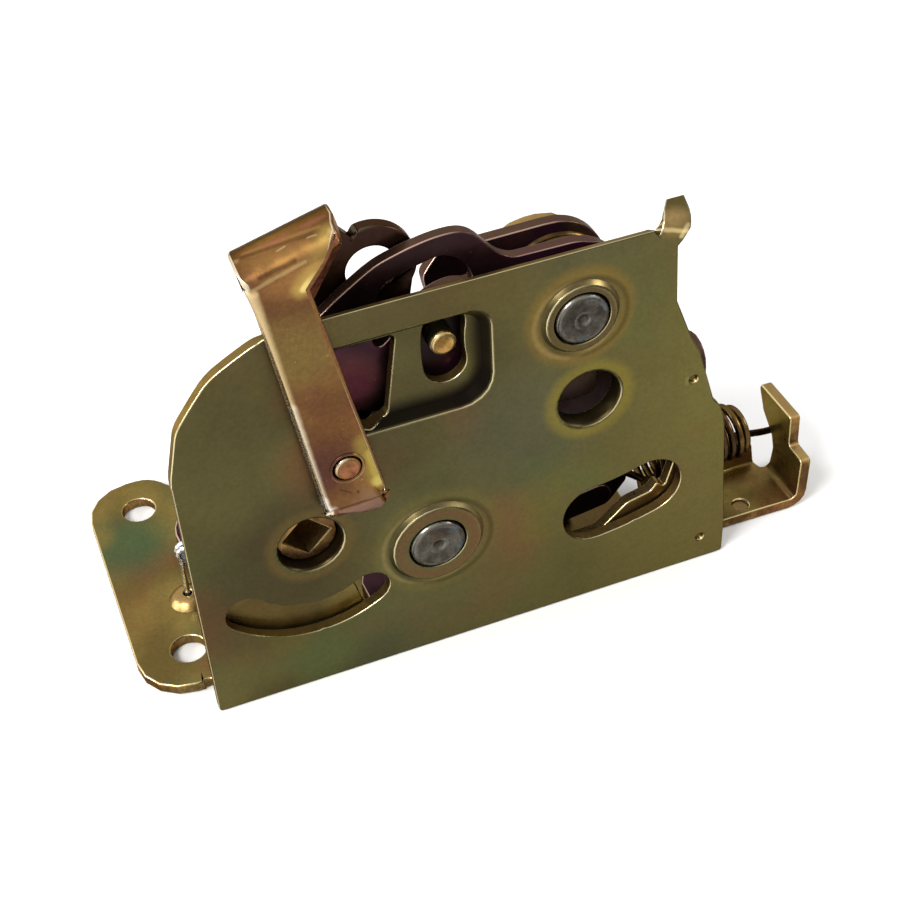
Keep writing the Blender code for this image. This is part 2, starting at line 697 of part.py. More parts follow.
def make_rear_plate():
    """Upright plate with the two pin holes, the follower's bearing and two feet folded back."""
    flat_low = REAR_LOW + REAR_SHEET + REAR_BEND_INNER
    foot_flat = flat_low - folded_length(REAR_FOOT_BACK - REAR_Y, REAR_BEND_INNER, REAR_SHEET)
    arch = REAR_ARCH
    left_x = REAR_FOOT_LEFT_X
    right_x = REAR_FOOT_RIGHT_X
    foot = REAR_FOOT_HALF
    outline = rounded([
        (left_x - foot, foot_flat, 3.0), (left_x + foot, foot_flat, 3.0), (left_x + foot, flat_low, 0.0),
        (left_x + foot + 1.0, arch, 2.0), (right_x - foot - 1.0, arch, 2.0), (right_x - foot, flat_low, 0.0),
        (right_x - foot, foot_flat, 3.0), (right_x + foot, foot_flat, 3.0), (right_x + foot, flat_low, 0.0),
        (right_x + foot, 28.0, 8.0), (UPPER_X + 8.6, 48.0, 8.0), (UPPER_X + 8.2, UPPER_Z + 8.2, 8.0),
        (UPPER_X - 8.2, UPPER_Z + 8.2, 8.0), (58.0, 56.0, 8.0), (40.0, 44.0, 8.0),
        (12.0, 43.0, 9.0), (left_x - foot, 30.0, 6.0), (left_x - foot, flat_low, 0.0)], 4)
    loops = [outline, circle(UPPER_X, UPPER_Z, TAIL_END_R + CLEARANCE, 24),
             circle(LOWER_X, LOWER_Z, TAIL_END_R + CLEARANCE, 24),
             circle(HUB_X, HUB_Z, FOLLOWER_JOURNAL_R + CLEARANCE, 24)]
    loops += [circle(x, foot_flat + (REAR_FOOT_BACK - y), RIVET_R + CLEARANCE, 16) for x, y in REAR_FEET]
    flat = slab("rear_plate", loops, REAR_SHEET)
    fold(flat, flat_low, -1.0, REAR_BEND_INNER, REAR_SHEET, 1,
         limit=lambda p: p.y < flat_low + 0.01)
    return add_object("rear_plate", place(flat, upright(REAR_Y)), "base")


def make_rear_rivets():
    top = REAR_LOW + REAR_SHEET + CLEARANCE
    profile = [(0.0, top + 1.3), (1.6, top + 1.1), (2.9, top + 0.5), (3.1, top), (RIVET_R, top),
               (RIVET_R, CLEARANCE), (0.0, CLEARANCE)]
    for label, (x, y) in zip(("left", "right"), REAR_FEET):
        turned("rear_rivet_" + label, profile, x, y, "steel", 20, "Z")


# Pins, bushes and washers

def make_pivot_pins():
    """Stepped pins: front journal in the side plate, bearing for the levers, riveted rear end."""
    stations = (("upper_pivot_pin", UPPER_X, UPPER_Z, UPPER_PIN_R, UPPER_BEARING_R, LOCKING_Y),
                ("lower_pivot_pin", LOWER_X, LOWER_Z, LOWER_PIN_R, LOWER_BEARING_R, OUTER_REAR_Y))
    for name, x, z, radius, bearing, first in stations:
        tail = REAR_BACK + CLEARANCE
        front = BOSS_FRONT - PIN_PROUD
        profile = [(0.0, tail + HEAD_HIGH), (TAIL_END_R + 0.3, tail + HEAD_HIGH),
                   (TAIL_END_R + 1.5, tail + HEAD_HIGH * 0.5), (TAIL_END_R + 1.5, tail), (TAIL_END_R, tail),
                   (TAIL_END_R, REAR_Y - CLEARANCE), (bearing, REAR_Y - CLEARANCE),
                   (bearing, first - CLEARANCE), (radius, first - CLEARANCE), (radius, front + 0.45),
                   (radius - 0.5, front), (1.3, front), (0.6, front + 0.5), (0.0, front + 0.6)]
        turned(name, profile, x, z, "steel", 28)


def ring_profile(inner, outer, front, back):
    return [(inner, back), (outer, back), (outer, front), (inner, front)]


def make_bushes():
    upper_in = UPPER_BEARING_R + CLEARANCE
    lower_in = LOWER_BEARING_R + CLEARANCE
    locking_back = LOCKING_Y + LOCKING_SHEET + CLEARANCE
    inside_back = INSIDE_Y + INSIDE_SHEET + CLEARANCE
    turned("upper_bush", ring_profile(upper_in, upper_in + BUSH_WALL, locking_back, INSIDE_Y - CLEARANCE),
           UPPER_X, UPPER_Z, "steel", 24)
    turned("upper_washer", ring_profile(upper_in, upper_in + BUSH_WALL + 1.0, inside_back,
                                        REAR_Y - 2.0 * CLEARANCE), UPPER_X, UPPER_Z, "steel", 24)
    turned("lower_bush", ring_profile(lower_in, lower_in + BUSH_WALL, LINK_Y, REAR_Y - 2.0 * CLEARANCE),
           LOWER_X, LOWER_Z, "steel", 24)


# Outer lever: one folded sheet

def head_frame(x, z):
    """Plate XZ to the head's own frame about the lower pin: across and along the bends."""
    a = math.radians(HEAD_TILT)
    dx = x - LOWER_X
    dz = z - LOWER_Z
    return (dx * math.cos(a) + dz * math.sin(a), -dx * math.sin(a) + dz * math.cos(a))


def head_point(across, along):
    """Point given in the head's own frame, as plate XZ."""
    a = math.radians(HEAD_TILT)
    return (LOWER_X + across * math.cos(a) - along * math.sin(a),
            LOWER_Z + across * math.sin(a) + along * math.cos(a))


def arm_point(across, along):
    """Point on the arm, given in the arm's own tilted axes, as plate XZ."""
    a = math.radians(ARM_TILT)
    return (LOWER_X + across * math.cos(a) + along * math.sin(a) * -1.0,
            LOWER_Z + across * math.sin(a) + along * math.cos(a))


def arm_in_head(across, along):
    """Arm axes to the head's frame, where the flat pattern is drawn."""
    return head_frame(*arm_point(across, along))


def rear_flat(x, z):
    """Point of the rear blade, in plate XZ, on the flat pattern."""
    across, along = head_frame(x, z)
    return (across, REAR_FLAT + REAR_BEND_AT - along)


def wrap_head(p, across, flat, height):
    """Flat pattern point to plate frame: up the arm, over the bridge, down the rear blade."""
    if flat <= FRONT_BEND_AT:
        y, up = ARM_FRONT_Y + height, flat
    elif flat <= BRIDGE_FLAT:
        turn = (flat - FRONT_BEND_AT) / FRONT_MID
        reach = FRONT_BEND_R + OUTER_SHEET - height
        y, up = BRIDGE_START - reach * math.cos(turn), FRONT_BEND_AT + reach * math.sin(turn)
    elif flat <= REAR_ARC_FLAT:
        y, up = BRIDGE_START + flat - BRIDGE_FLAT, HEAD_TOP - height
    elif flat <= REAR_FLAT:
        turn = (flat - REAR_ARC_FLAT) / REAR_MID
        reach = REAR_BEND_R + OUTER_SHEET - height
        y, up = BRIDGE_END + reach * math.sin(turn), REAR_BEND_AT + reach * math.cos(turn)
    else:
        y, up = OUTER_REAR_Y + OUTER_SHEET - height, REAR_BEND_AT - (flat - REAR_FLAT)
    a = math.radians(HEAD_TILT)
    p.x = (LOWER_X + across * math.cos(a) - up * math.sin(a)) * MM
    p.y = y * MM
    p.z = (LOWER_Z + across * math.sin(a) + up * math.cos(a)) * MM


def hub_arc(x, z, radius, start, end, steps=10):
    return [rear_flat(*p) for p in arc(x, z, radius, start, end, steps)]


def make_outer_lever():
    """Outline of the flat pattern, holes, slanted cut edges, then the two folds of the head."""
    flare_start = HEAD_TOP - FLARE_DROP
    tip = [arm_in_head(*p) for p in rounded([
        (ARM_LEFT, ARM_TIP + ARM_TIP_SLANT, 2.2), (ARM_RIGHT, ARM_TIP, 2.2), (ARM_RIGHT, flare_start, 0.0),
        (ARM_LEFT + ARM_TAPER, HEAD_TOP - 8.4, 0.0)], 4)]
    flare_low, arm_high = tip[-2:]
    flare_high = (6.2, FRONT_BEND_AT - 0.5)
    eye_x, eye_z = head_point(EYE_ACROSS, HEAD_TOP - EYE_DROP)
    right = [flare_high, (6.9, REAR_ARC_FLAT), (7.4, REAR_FLAT), rear_flat(eye_x - 2.6, eye_z + 6.4)]
    eye = hub_arc(eye_x, eye_z, EYE_R, 104.0, -30.0, 14)
    waist_right = [rear_flat(eye_x + 4.8, eye_z - 13.5), rear_flat(45.6, 52.0), rear_flat(49.6, 40.0)]
    hub_right = hub_arc(LOWER_X, LOWER_Z, OUTER_HUB_R, 38.0, -68.0, 9)
    tail = hub_arc(LOWER_X, TAIL_Z, TAIL_R, 0.0, -180.0, 10)
    hub_left = hub_arc(LOWER_X, LOWER_Z, OUTER_HUB_R, 248.0, 165.0, 8)
    left = [rear_flat(29.6, 42.0), rear_flat(*head_point(-6.4, HEAD_TOP - 26.75)), (-8.6, REAR_FLAT - 1.0),
            (-9.5, REAR_ARC_FLAT + 2.0), (-9.7, FRONT_BEND_AT), arm_high]
    outline = tip[:-1] + right + eye + waist_right + hub_right + tail + hub_left + left
    loops = [outline, [rear_flat(*p) for p in circle(eye_x, eye_z, EYE_HOLE_R, 24)],
             [rear_flat(*p) for p in circle(LOWER_X, LOWER_Z, LOWER_BEARING_R + CLEARANCE, 24)],
             [rear_flat(*p) for p in circle(LOWER_X, TAIL_Z, STUD_R + CLEARANCE, 16)],
             [arm_in_head(*p) for p in circle(ARM_STUD_ACROSS, ARM_STUD_ALONG, ARM_STUD_R, 20)]]
    mesh = slab("outer_lever", loops, OUTER_SHEET)
    slant_cut_edges(mesh, flare_low, flare_high)
    bend_steps(mesh, (FRONT_BEND_AT, BRIDGE_FLAT, 5), (REAR_ARC_FLAT, REAR_FLAT, 8))
    for vert in mesh.vertices:
        flat = vert.co / MM
        wrap_head(vert.co, flat.x, flat.y, flat.z)
    mesh.flip_normals()
    lever = add_object("outer_lever", mesh, "lever")
    set_origin(lever, LOWER_X, 0.0, LOWER_Z)
    return lever


def slant_cut_edges(mesh, low, high):
    """Slant the cut edges of the flare and the tip: the outer face is set back from the inner face."""
    tilt = Matrix.Rotation(math.radians(HEAD_TILT - ARM_TILT), 2)
    for vert in mesh.vertices:
        flat = Vector((vert.co.x, vert.co.y)) / MM
        if vert.co.z > OUTER_SHEET / 2.0 * MM:
            continue
        across, along = tilt @ flat
        if (flat - Vector(high)).length < 0.01:
            flat += Vector((-0.2, FLARE_BEVEL * 0.9))
        elif (flat - Vector(low)).length < 0.01:
            flat += Vector((-0.2, FLARE_BEVEL * 1.4))
        elif across < ARM_RIGHT + 0.1 and along < ARM_TIP_FACE:
            flat = tilt.inverted() @ Vector((across, ARM_TIP_FACE + 0.2 * (along - ARM_TIP - ARM_TIP_SLANT)))
        vert.co.x, vert.co.y = flat * MM


def bend_steps(mesh, *bends):
    """Split the flat sheet into narrow strips where it will be bent."""
    bm = bmesh.new()
    bm.from_mesh(mesh)
    for start, end, steps in bends:
        for i in range(steps + 1):
            level = (start + (end - start) * i / steps) * MM
            geometry = bm.verts[:] + bm.edges[:] + bm.faces[:]
            bmesh.ops.bisect_plane(bm, geom=geometry, dist=0.0000001, plane_co=(0.0, level, 0.0),
                                   plane_no=(0.0, 1.0, 0.0))
    bm.to_mesh(mesh)
    bm.free()


def make_outer_stud():
    """Stud through the arm's tip, its flush end showing as a ring on the front."""
    x, z = arm_point(ARM_STUD_ACROSS, ARM_STUD_ALONG)
    radius = ARM_STUD_R - CLEARANCE
    back = -CLEARANCE
    front = ARM_FRONT_Y - 0.35
    profile = [(0.0, back), (radius, back), (radius, front + 0.3), (radius - 0.35, front), (0.0, front)]
    return turned("outer_lever_stud", profile, x, z, "lever", 20)


# Locking lever, drive pin and follower

def fork_point(along, across):
    """Point about the hub hole, along and across the line from the hub hole to the upper pin."""
    a = math.atan2(UPPER_Z - HUB_Z, UPPER_X - HUB_X)
    return (HUB_X + along * math.cos(a) - across * math.sin(a),
            HUB_Z + along * math.sin(a) + across * math.cos(a))


def make_locking_lever():
    hump = [(27.5, 74.2), (29.5, 76.3), (33.5, 79.2), (37.6, 81.7), (41.2, 82.9), (44.5, 83.7), (48.0, 84.2),
            (51.8, 84.0), (53.9, 82.9), (56.2, 80.3), (58.4, 77.9), (61.4, 76.6)]
    hub = arc(UPPER_X, UPPER_Z, LOCKING_HUB_R, 90.0, -75.0, 14)
    notch = FOLLOWER_NOSE_R + FORK_GAP
    reach = FOLLOWER_REACH
    tab = rounded([(75.2, 52.0, 0.0), (75.2, 44.2, 1.5), (66.6, 44.2, 1.5), (64.8, 53.5, 3.0),
                   (58.0, 57.2, 5.0), (45.5, 56.6, 5.0), (41.6, 51.6, 0.0)], 3)[:-1]
    fork_upper = [fork_point(reach + notch + 5.0, -7.0), fork_point(reach + 1.4, -7.0),
                  fork_point(reach + 0.2, -notch - 1.6), fork_point(reach + 0.2, -notch)]
    floor_of_notch = arc(*fork_point(reach, 0.0), notch, -90.0 + 32.2, 90.0 + 32.2, 8)
    fork_lower = [fork_point(reach + 0.2, notch), fork_point(reach + 0.2, notch + 1.6),
                  fork_point(reach + 1.4, 7.0), fork_point(reach + 4.0, 8.2)]
    leg = [(27.2, 57.0), (26.4, 66.0)]
    outline = hump + hub + tab + fork_upper + floor_of_notch + fork_lower + leg
    window = curve_through([(36.2, 68.0), (36.4, 73.0), (38.4, 77.4), (41.4, 79.1), (44.7, 79.9),
                            (48.2, 80.5), (51.0, 79.4), (52.8, 77.0), (53.2, 74.4), (50.0, 74.9),
                            (46.4, 74.1), (42.6, 71.6), (39.2, 67.8), (37.2, 66.4)], 3)
    pin_x, pin_z = on_circle(UPPER_X, UPPER_Z, PIN_ORBIT_R, DRIVE_PIN_ANGLE)
    loops = [outline, window, circle(UPPER_X, UPPER_Z, UPPER_BEARING_R + CLEARANCE, 24),
             circle(pin_x, pin_z, DRIVE_PIN_R * 0.7 + CLEARANCE, 16)]
    lever = sheet("locking_lever", loops, LOCKING_Y, LOCKING_SHEET, "inner")
    set_origin(lever, UPPER_X, 0.0, UPPER_Z)
    return lever


def make_drive_pin():
    """Short pin riveted in the locking lever; it slides in the pocket's curved slot."""
    x, z = on_circle(UPPER_X, UPPER_Z, PIN_ORBIT_R, DRIVE_PIN_ANGLE)
    neck = DRIVE_PIN_R * 0.7
    front = DRIVE_PIN_FRONT
    shoulder = LOCKING_Y - CLEARANCE
    profile = [(0.0, LOCKING_Y + LOCKING_SHEET), (neck, LOCKING_Y + LOCKING_SHEET), (neck, shoulder),
               (DRIVE_PIN_R, shoulder), (DRIVE_PIN_R, front + 0.5), (DRIVE_PIN_R - 0.5, front),
               (0.0, front)]
    return turned("drive_pin", profile, x, z, "lever", 20)


def make_locking_follower():
    """Hub with a square hole set on its corner, its arm and rounded nose."""
    a = math.atan2(UPPER_Z - HUB_Z, UPPER_X - HUB_X)
    along = math.degrees(a)
    nose = arc(*fork_point(FOLLOWER_REACH, 0.0), FOLLOWER_NOSE_R, along - 142.0, along + 142.0, 12)
    hub = arc(HUB_X, HUB_Z, FOLLOWER_HUB_R, along + 24.0, along + 336.0, 20)
    half = FOLLOWER_SQUARE / math.sqrt(2.0)
    square = [(HUB_X + half, HUB_Z), (HUB_X, HUB_Z + half), (HUB_X - half, HUB_Z), (HUB_X, HUB_Z - half)]
    follower = sheet("locking_follower", [nose + hub], LOCKING_Y, LOCKING_SHEET, "base")
    front = PLATE_SHEET + COLLAR_DEPTH - 0.2
    journal = [(0.0, REAR_BACK + CLEARANCE), (FOLLOWER_JOURNAL_R, REAR_BACK + CLEARANCE),
               (FOLLOWER_JOURNAL_R, front - 0.9), (0.0, front - 0.9)]
    join(follower, turned("follower_journal", journal, HUB_X, HUB_Z, None, 24))
    cut(follower, sheet("follower_square", [square], 0.0, REAR_BACK + 2.0, None))
    return follower


# Inside lever and release link

def make_inside_lever():
    """Rear lever: hub, left arm, foot with the link slot and the lug folded to the front."""
    bend_r = 0.8
    line = INSIDE_LUG_X - INSIDE_SHEET - bend_r
    lug = line + folded_length(INSIDE_Y + INSIDE_SHEET - INSIDE_LUG_FRONT, bend_r, INSIDE_SHEET)
    hub = arc(UPPER_X, UPPER_Z, INSIDE_HUB_R, 85.0, -15.0, 10)
    rest = rounded([
        (83.0, 50.0, 8.0), (line - 3.0, INSIDE_LUG_TOP, 2.0), (lug, INSIDE_LUG_TOP, 4.2),
        (lug, INSIDE_LUG_TOP - 12.0, 4.2), (line - 3.0, INSIDE_LUG_TOP - 11.5, 2.0), (86.2, 32.0, 4.0),
        (86.2, 20.0, 3.0), (85.3, 13.4, 1.5), (81.4, 8.6, 2.5), (74.2, 8.4, 2.0), (72.4, 12.0, 2.0),
        (72.4, 28.0, 10.0), (62.0, 54.0, 6.0), (58.0, 65.2, 3.0), (48.6, 66.4, 3.0), (47.6, 72.0, 2.0),
        (50.4, 75.7, 2.0), (UPPER_X - 4.0, 75.9, 0.0)], 4)
    half = STUD_R + CLEARANCE
    slot = arc(FOOT_X, FOOT_Z + SLOT_PLAY, half, 0.0, 180.0, 8)
    slot += arc(FOOT_X, FOOT_Z - SLOT_PLAY, half, 180.0, 360.0, 8)
    loops = [hub + rest, circle(UPPER_X, UPPER_Z, UPPER_BEARING_R + CLEARANCE, 24), slot,
             circle(SPRING_HOLE_X, SPRING_HOLE_Z, SPRING_HOLE_R, 16)]
    flat = slab("inside_lever", loops, INSIDE_SHEET)
    fold(flat, line, 1.0, bend_r, INSIDE_SHEET, 0)
    back = (INSIDE_Y + INSIDE_SHEET) * MM
    towards_front = Matrix(((1, 0, 0, 0), (0, 0, -1, back), (0, 1, 0, 0), (0, 0, 0, 1)))
    lever = add_object("inside_lever", place(flat, towards_front), "inner")
    set_origin(lever, UPPER_X, 0.0, UPPER_Z)
    return lever


def make_release_link():
    """Flat bar with one stud to the front in the tail and one to the back in the foot."""
    half = LINK_HALF
    rise = math.degrees(math.atan2(FOOT_Z - TAIL_Z, FOOT_X - LOWER_X))
    bar = arc(LOWER_X, TAIL_Z, half, rise + 90.0, rise + 270.0, 8)
    bar += arc(FOOT_X, FOOT_Z, half, rise - 90.0, rise + 90.0, 8)
    link = sheet("release_link", [bar], LINK_Y, LINK_SHEET, "inner")
    lap = LINK_SHEET / 2.0
    front_stud = [(0.0, LINK_Y + lap), (STUD_R, LINK_Y + lap), (STUD_R, OUTER_REAR_Y), (0.0, OUTER_REAR_Y)]
    back = INSIDE_Y + INSIDE_SHEET
    back_stud = [(0.0, back), (STUD_R, back), (STUD_R, LINK_Y + lap), (0.0, LINK_Y + lap)]
    join(link, turned("tail_stud", front_stud, LOWER_X, TAIL_Z, None, 16))
    join(link, turned("foot_stud", back_stud, FOOT_X, FOOT_Z, None, 16))
    return link


# Springs

def coil_points(centre, axis, radius, start, length, turns, first_angle, per_turn=12):
    """Helix about an axis along X, Y or Z."""
    points = []
    total = int(turns * per_turn)
    for i in range(total + 1):
        a = math.radians(first_angle) + 2.0 * math.pi * i / per_turn
        travel = start + length * i / total
        across = radius * math.cos(a)
        up = radius * math.sin(a)
        if axis == "X":
            points.append((travel, centre[0] + across, centre[1] + up))
        elif axis == "Y":
            points.append((centre[0] + across, travel, centre[1] + up))
        else:
            points.append((centre[0] + across, centre[1] + up, travel))
    return points


def make_lever_spring():
    """Torsion coil round the upper bush, one leg on the rear plate side, one on the lever side."""
    front = LOCKING_Y + LOCKING_SHEET + CLEARANCE + COIL_WIRE_R
    pitch = 2.0 * COIL_WIRE_R + 0.08
    coil = coil_points((UPPER_X, UPPER_Z), "Y", COIL_R, front, pitch * COIL_TURNS, COIL_TURNS, 200.0, 16)
    first = coil[0]
    last = coil[-1]
    leg_in = [(first[0] - 3.4, first[1], first[2] + 8.0), (first[0] - 1.0, first[1], first[2] + 2.8)]
    leg_out = [(last[0] - 2.8, last[1], last[2] - 2.8), (last[0] - 8.0, last[1], last[2] - 7.6)]
    return wire("lever_spring", leg_in + coil + leg_out, COIL_WIRE_R, "inner")


def make_main_spring():
    """Extension spring between the inside lever and the end wall."""
    centre = (MAIN_SPRING_Y, MAIN_SPRING_Z)
    coil = coil_points(centre, "X", MAIN_SPRING_R, MAIN_SPRING_LEFT, MAIN_SPRING_RIGHT - MAIN_SPRING_LEFT,
                       MAIN_SPRING_TURNS, -90.0, 12)
    coil += coil_points(centre, "X", MAIN_SPRING_END_R, MAIN_SPRING_RIGHT + 0.3, 1.3, 1, -60.0, 12)
    low = MAIN_SPRING_Z - MAIN_SPRING_R
    in_front = INSIDE_Y - CLEARANCE - MAIN_SPRING_WIRE_R - 0.2
    behind = INSIDE_Y + INSIDE_SHEET + CLEARANCE + MAIN_SPRING_WIRE_R + 0.4
    hole_z = SPRING_HOLE_Z
    hook = [(SPRING_HOLE_X - 0.1, behind + 0.6, hole_z - 0.6), (SPRING_HOLE_X, behind, hole_z),
            (SPRING_HOLE_X, in_front, hole_z), (SPRING_HOLE_X + 1.2, in_front - 0.4, hole_z - 0.6),
            (87.6, in_front - 0.2, MAIN_SPRING_Z - 2.6), (88.6, MAIN_SPRING_Y - 1.2, low + 0.6)]
    wall_in = WALL_OUTER_X - BASE_SHEET
    outside = WALL_OUTER_X + CLEARANCE + MAIN_SPRING_WIRE_R
    pull = [(wall_in - 1.0, 17.2, 9.9), (outside - 0.6, 17.4, 9.8), (outside, 16.7, 9.7),
            (outside, 12.8, 9.5)]
    return wire("main_spring", hook + coil + pull, MAIN_SPRING_WIRE_R, "base")


def make_follower_spring():
    """Bright wire: leg in the flange's collar, loop above it, leg to the follower."""
    loop_r = 1.7
    centre_x = COLLAR_X + loop_r
    centre_z = 12.5
    leg = [(COLLAR_X, COLLAR_Y, 0.6), (COLLAR_X, COLLAR_Y, 6.0)]
    loop = coil_points((centre_x, centre_z), "Y", loop_r, COLLAR_Y, 2.9, 2.25, 180.0, 12)
    last = loop[-1]
    tail = [(last[0] + 4.0, last[1], last[2] + 2.2), (HUB_X - 10.2, COLLAR_Y + 2.9, HUB_Z - 9.0),
            (HUB_X - 6.9, COLLAR_Y + 2.4, HUB_Z - 3.4), (HUB_X - 6.3, REAR_BACK + 1.6, HUB_Z - 0.8)]
    return wire("follower_spring", leg + loop + tail, FOLLOWER_WIRE_R, "wire")


# Claw and pawl

def make_claw():
    """Forked claw, drawn shut with its mouth to the right, then turned to its open rest."""
    half = CLAW_MOUTH_W / 2.0
    reach = math.sqrt(CLAW_R ** 2 - half ** 2)
    edge = math.degrees(math.asin(half / CLAW_R))
    inner = CLAW_MOUTH_IN + half
    mouth = [(reach, half), (inner, half)]
    mouth += arc(inner, 0.0, half, 90.0, 270.0, 10)[1:-1]
    mouth += [(inner, -half), (reach, -half)]
    lower = arc(0.0, 0.0, CLAW_R, -edge, -edge - 26.0, 6)[1:]
    upper = arc(0.0, 0.0, CLAW_R, edge + 16.0, edge, 4)[:-1]
    back = arc(0.0, 0.0, CLAW_HUB_R, 285.0, 105.0, 14)
    local = mouth + lower + back + upper
    turn = math.radians(CLAW_OPEN)
    across = math.cos(turn)
    along = math.sin(turn)
    points = [(CLAW_X + x * across - y * along, CLAW_Y + x * along + y * across) for x, y in local]
    claw = floor_sheet("claw", [points, circle(CLAW_X, CLAW_Y, CLAW_PIN_R + CLEARANCE, 24)], CLAW_LOW,
                       CLAW_SHEET, "inner")
    set_origin(claw, CLAW_X, CLAW_Y, 0.0)
    return claw


def floor_pin(name, x, y, radius, spring_seat, high):
    """Pin through the floor; its head sits just above the coil that stands on spring_seat."""
    head_r = radius + PIN_HEAD_WALL
    top = spring_seat + SMALL_COIL_LENGTH + 2.0 * SMALL_WIRE_R + CLEARANCE
    profile = [(0.0, top + high), (head_r - 0.7, top + high), (head_r, top + high * 0.5), (head_r, top),
               (radius, top), (radius, CLEARANCE), (0.0, CLEARANCE)]
    return turned(name, profile, x, y, "steel", 24, "Z")


def make_pawl():
    """Pawl with a nose at the claw's rim and a lug folded up beside the outer lever's tail."""
    bend_r = 0.4
    lug_right = LOWER_X - TAIL_R - CLEARANCE
    line = lug_right - PAWL_SHEET - bend_r
    flat_right = line + folded_length(PAWL_LUG_TOP - PAWL_LOW, bend_r, PAWL_SHEET)
    lug_front = OUTER_REAR_Y - 0.6
    lug_back = OUTER_REAR_Y + OUTER_SHEET + 0.2
    angle = math.degrees(math.atan2(CLAW_Y - PAWL_Y - 3.2, -4.0))
    hub = arc(PAWL_X, PAWL_Y, PAWL_HUB_R, -45.0, angle - 48.0, 8)
    nose_x = CLAW_X + CLAW_R + CLEARANCE
    nose = [(nose_x + 4.2, CLAW_Y - 5.2), (nose_x + 3.2, CLAW_Y - 1.4), (nose_x + 0.25, CLAW_Y - 1.2),
            (nose_x + 0.15, CLAW_Y - 3.4), (nose_x - 0.15, CLAW_Y - 5.6)]
    hub_left = arc(PAWL_X, PAWL_Y, PAWL_HUB_R, angle + 48.0, 215.0, 5)
    arm = [(line - 3.4, 15.0), (line - 3.2, lug_front + 1.0), (line - 2.2, lug_front), (line, lug_front),
           (flat_right, lug_front), (flat_right, lug_back), (line, lug_back), (line + 0.4, lug_back + 0.6),
           (line + 2.4, 15.0)]
    flat = slab("pawl", [hub + nose + hub_left + arm, circle(PAWL_X, PAWL_Y, PAWL_PIN_R + CLEARANCE, 20)],
                PAWL_SHEET)
    fold(flat, line, 1.0, bend_r, PAWL_SHEET, 0, limit=lambda p: p.y < lug_back + 0.01)
    flat.transform(Matrix.Translation((0.0, 0.0, PAWL_LOW * MM)))
    pawl = add_object("pawl", flat, "inner")
    set_origin(pawl, PAWL_X, PAWL_Y, 0.0)
    return pawl


def make_floor_springs():
    """Small torsion springs round the claw's and the pawl's pins, above the plates."""
    claw_top = CLAW_LOW + CLAW_SHEET + CLEARANCE
    coil = coil_points((CLAW_X, CLAW_Y), "Z", CLAW_PIN_R + CLEARANCE + SMALL_WIRE_R,
                       claw_top + SMALL_WIRE_R, SMALL_COIL_LENGTH, 2.0, 90.0, 12)
    first = coil[0]
    last = coil[-1]
    wire("claw_spring", [(first[0] - 7.0, first[1] + 1.0, first[2])] + coil
         + [(last[0] - 6.0, last[1] + 0.6, last[2])], SMALL_WIRE_R, "wire")
    pawl_top = PAWL_LOW + PAWL_SHEET + CLEARANCE
    coil = coil_points((PAWL_X, PAWL_Y), "Z", PAWL_PIN_R + CLEARANCE + SMALL_WIRE_R,
                       pawl_top + SMALL_WIRE_R, SMALL_COIL_LENGTH, 2.0, 0.0, 12)
    first = coil[0]
    last = coil[-1]
    wire("pawl_spring", [(first[0] + 0.4, first[1] - 7.0, first[2])] + coil
         + [(last[0] + 0.6, last[1] + 8.0, last[2])], SMALL_WIRE_R, "wire")
    floor_pin("claw_pin", CLAW_X, CLAW_Y, CLAW_PIN_R, claw_top, 1.4)
    floor_pin("pawl_pin", PAWL_X, PAWL_Y, PAWL_PIN_R, pawl_top, 1.2)


make_main_plate()
make_base_frame()
make_rear_plate()
make_rear_rivets()
make_pivot_pins()
make_bushes()
make_outer_lever()
make_outer_stud()
make_locking_lever()
make_drive_pin()
make_locking_follower()
make_inside_lever()
make_release_link()
make_lever_spring()
make_main_spring()
make_follower_spring()
make_claw()
make_pawl()
make_floor_springs()
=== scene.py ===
import math

import bmesh
import bpy
import numpy as np
from mathutils import Matrix, Vector


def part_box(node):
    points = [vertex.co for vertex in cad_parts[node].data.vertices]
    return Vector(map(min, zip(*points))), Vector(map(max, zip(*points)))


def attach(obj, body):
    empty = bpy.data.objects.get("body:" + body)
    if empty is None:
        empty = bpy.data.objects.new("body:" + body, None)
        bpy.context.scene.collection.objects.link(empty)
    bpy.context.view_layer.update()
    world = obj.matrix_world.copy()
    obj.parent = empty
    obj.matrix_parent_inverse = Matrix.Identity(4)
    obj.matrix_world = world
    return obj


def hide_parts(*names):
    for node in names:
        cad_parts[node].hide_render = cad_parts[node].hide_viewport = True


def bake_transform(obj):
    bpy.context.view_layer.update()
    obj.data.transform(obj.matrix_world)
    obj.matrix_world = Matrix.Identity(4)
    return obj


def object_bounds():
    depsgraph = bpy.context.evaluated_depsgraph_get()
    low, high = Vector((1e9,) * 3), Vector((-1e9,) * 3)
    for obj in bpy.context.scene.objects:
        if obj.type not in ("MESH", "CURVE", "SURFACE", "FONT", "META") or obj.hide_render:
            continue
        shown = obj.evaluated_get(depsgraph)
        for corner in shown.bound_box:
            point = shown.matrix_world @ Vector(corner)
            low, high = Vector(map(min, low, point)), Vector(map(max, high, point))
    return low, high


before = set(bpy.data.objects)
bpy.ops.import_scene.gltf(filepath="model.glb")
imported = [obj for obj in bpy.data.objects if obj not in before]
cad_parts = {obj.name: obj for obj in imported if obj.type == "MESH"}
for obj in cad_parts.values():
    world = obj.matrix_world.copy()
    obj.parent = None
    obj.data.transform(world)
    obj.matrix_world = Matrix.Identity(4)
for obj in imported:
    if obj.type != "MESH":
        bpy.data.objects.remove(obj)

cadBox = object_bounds()
mm = 0.001
scene = bpy.context.scene
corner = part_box("main_plate")[0]                   # lower left front corner of the side plate and its bosses
bossRise = 0.9 * mm                                # how far the bosses stand in front of the plate's face
plateFront = corner.y + bossRise


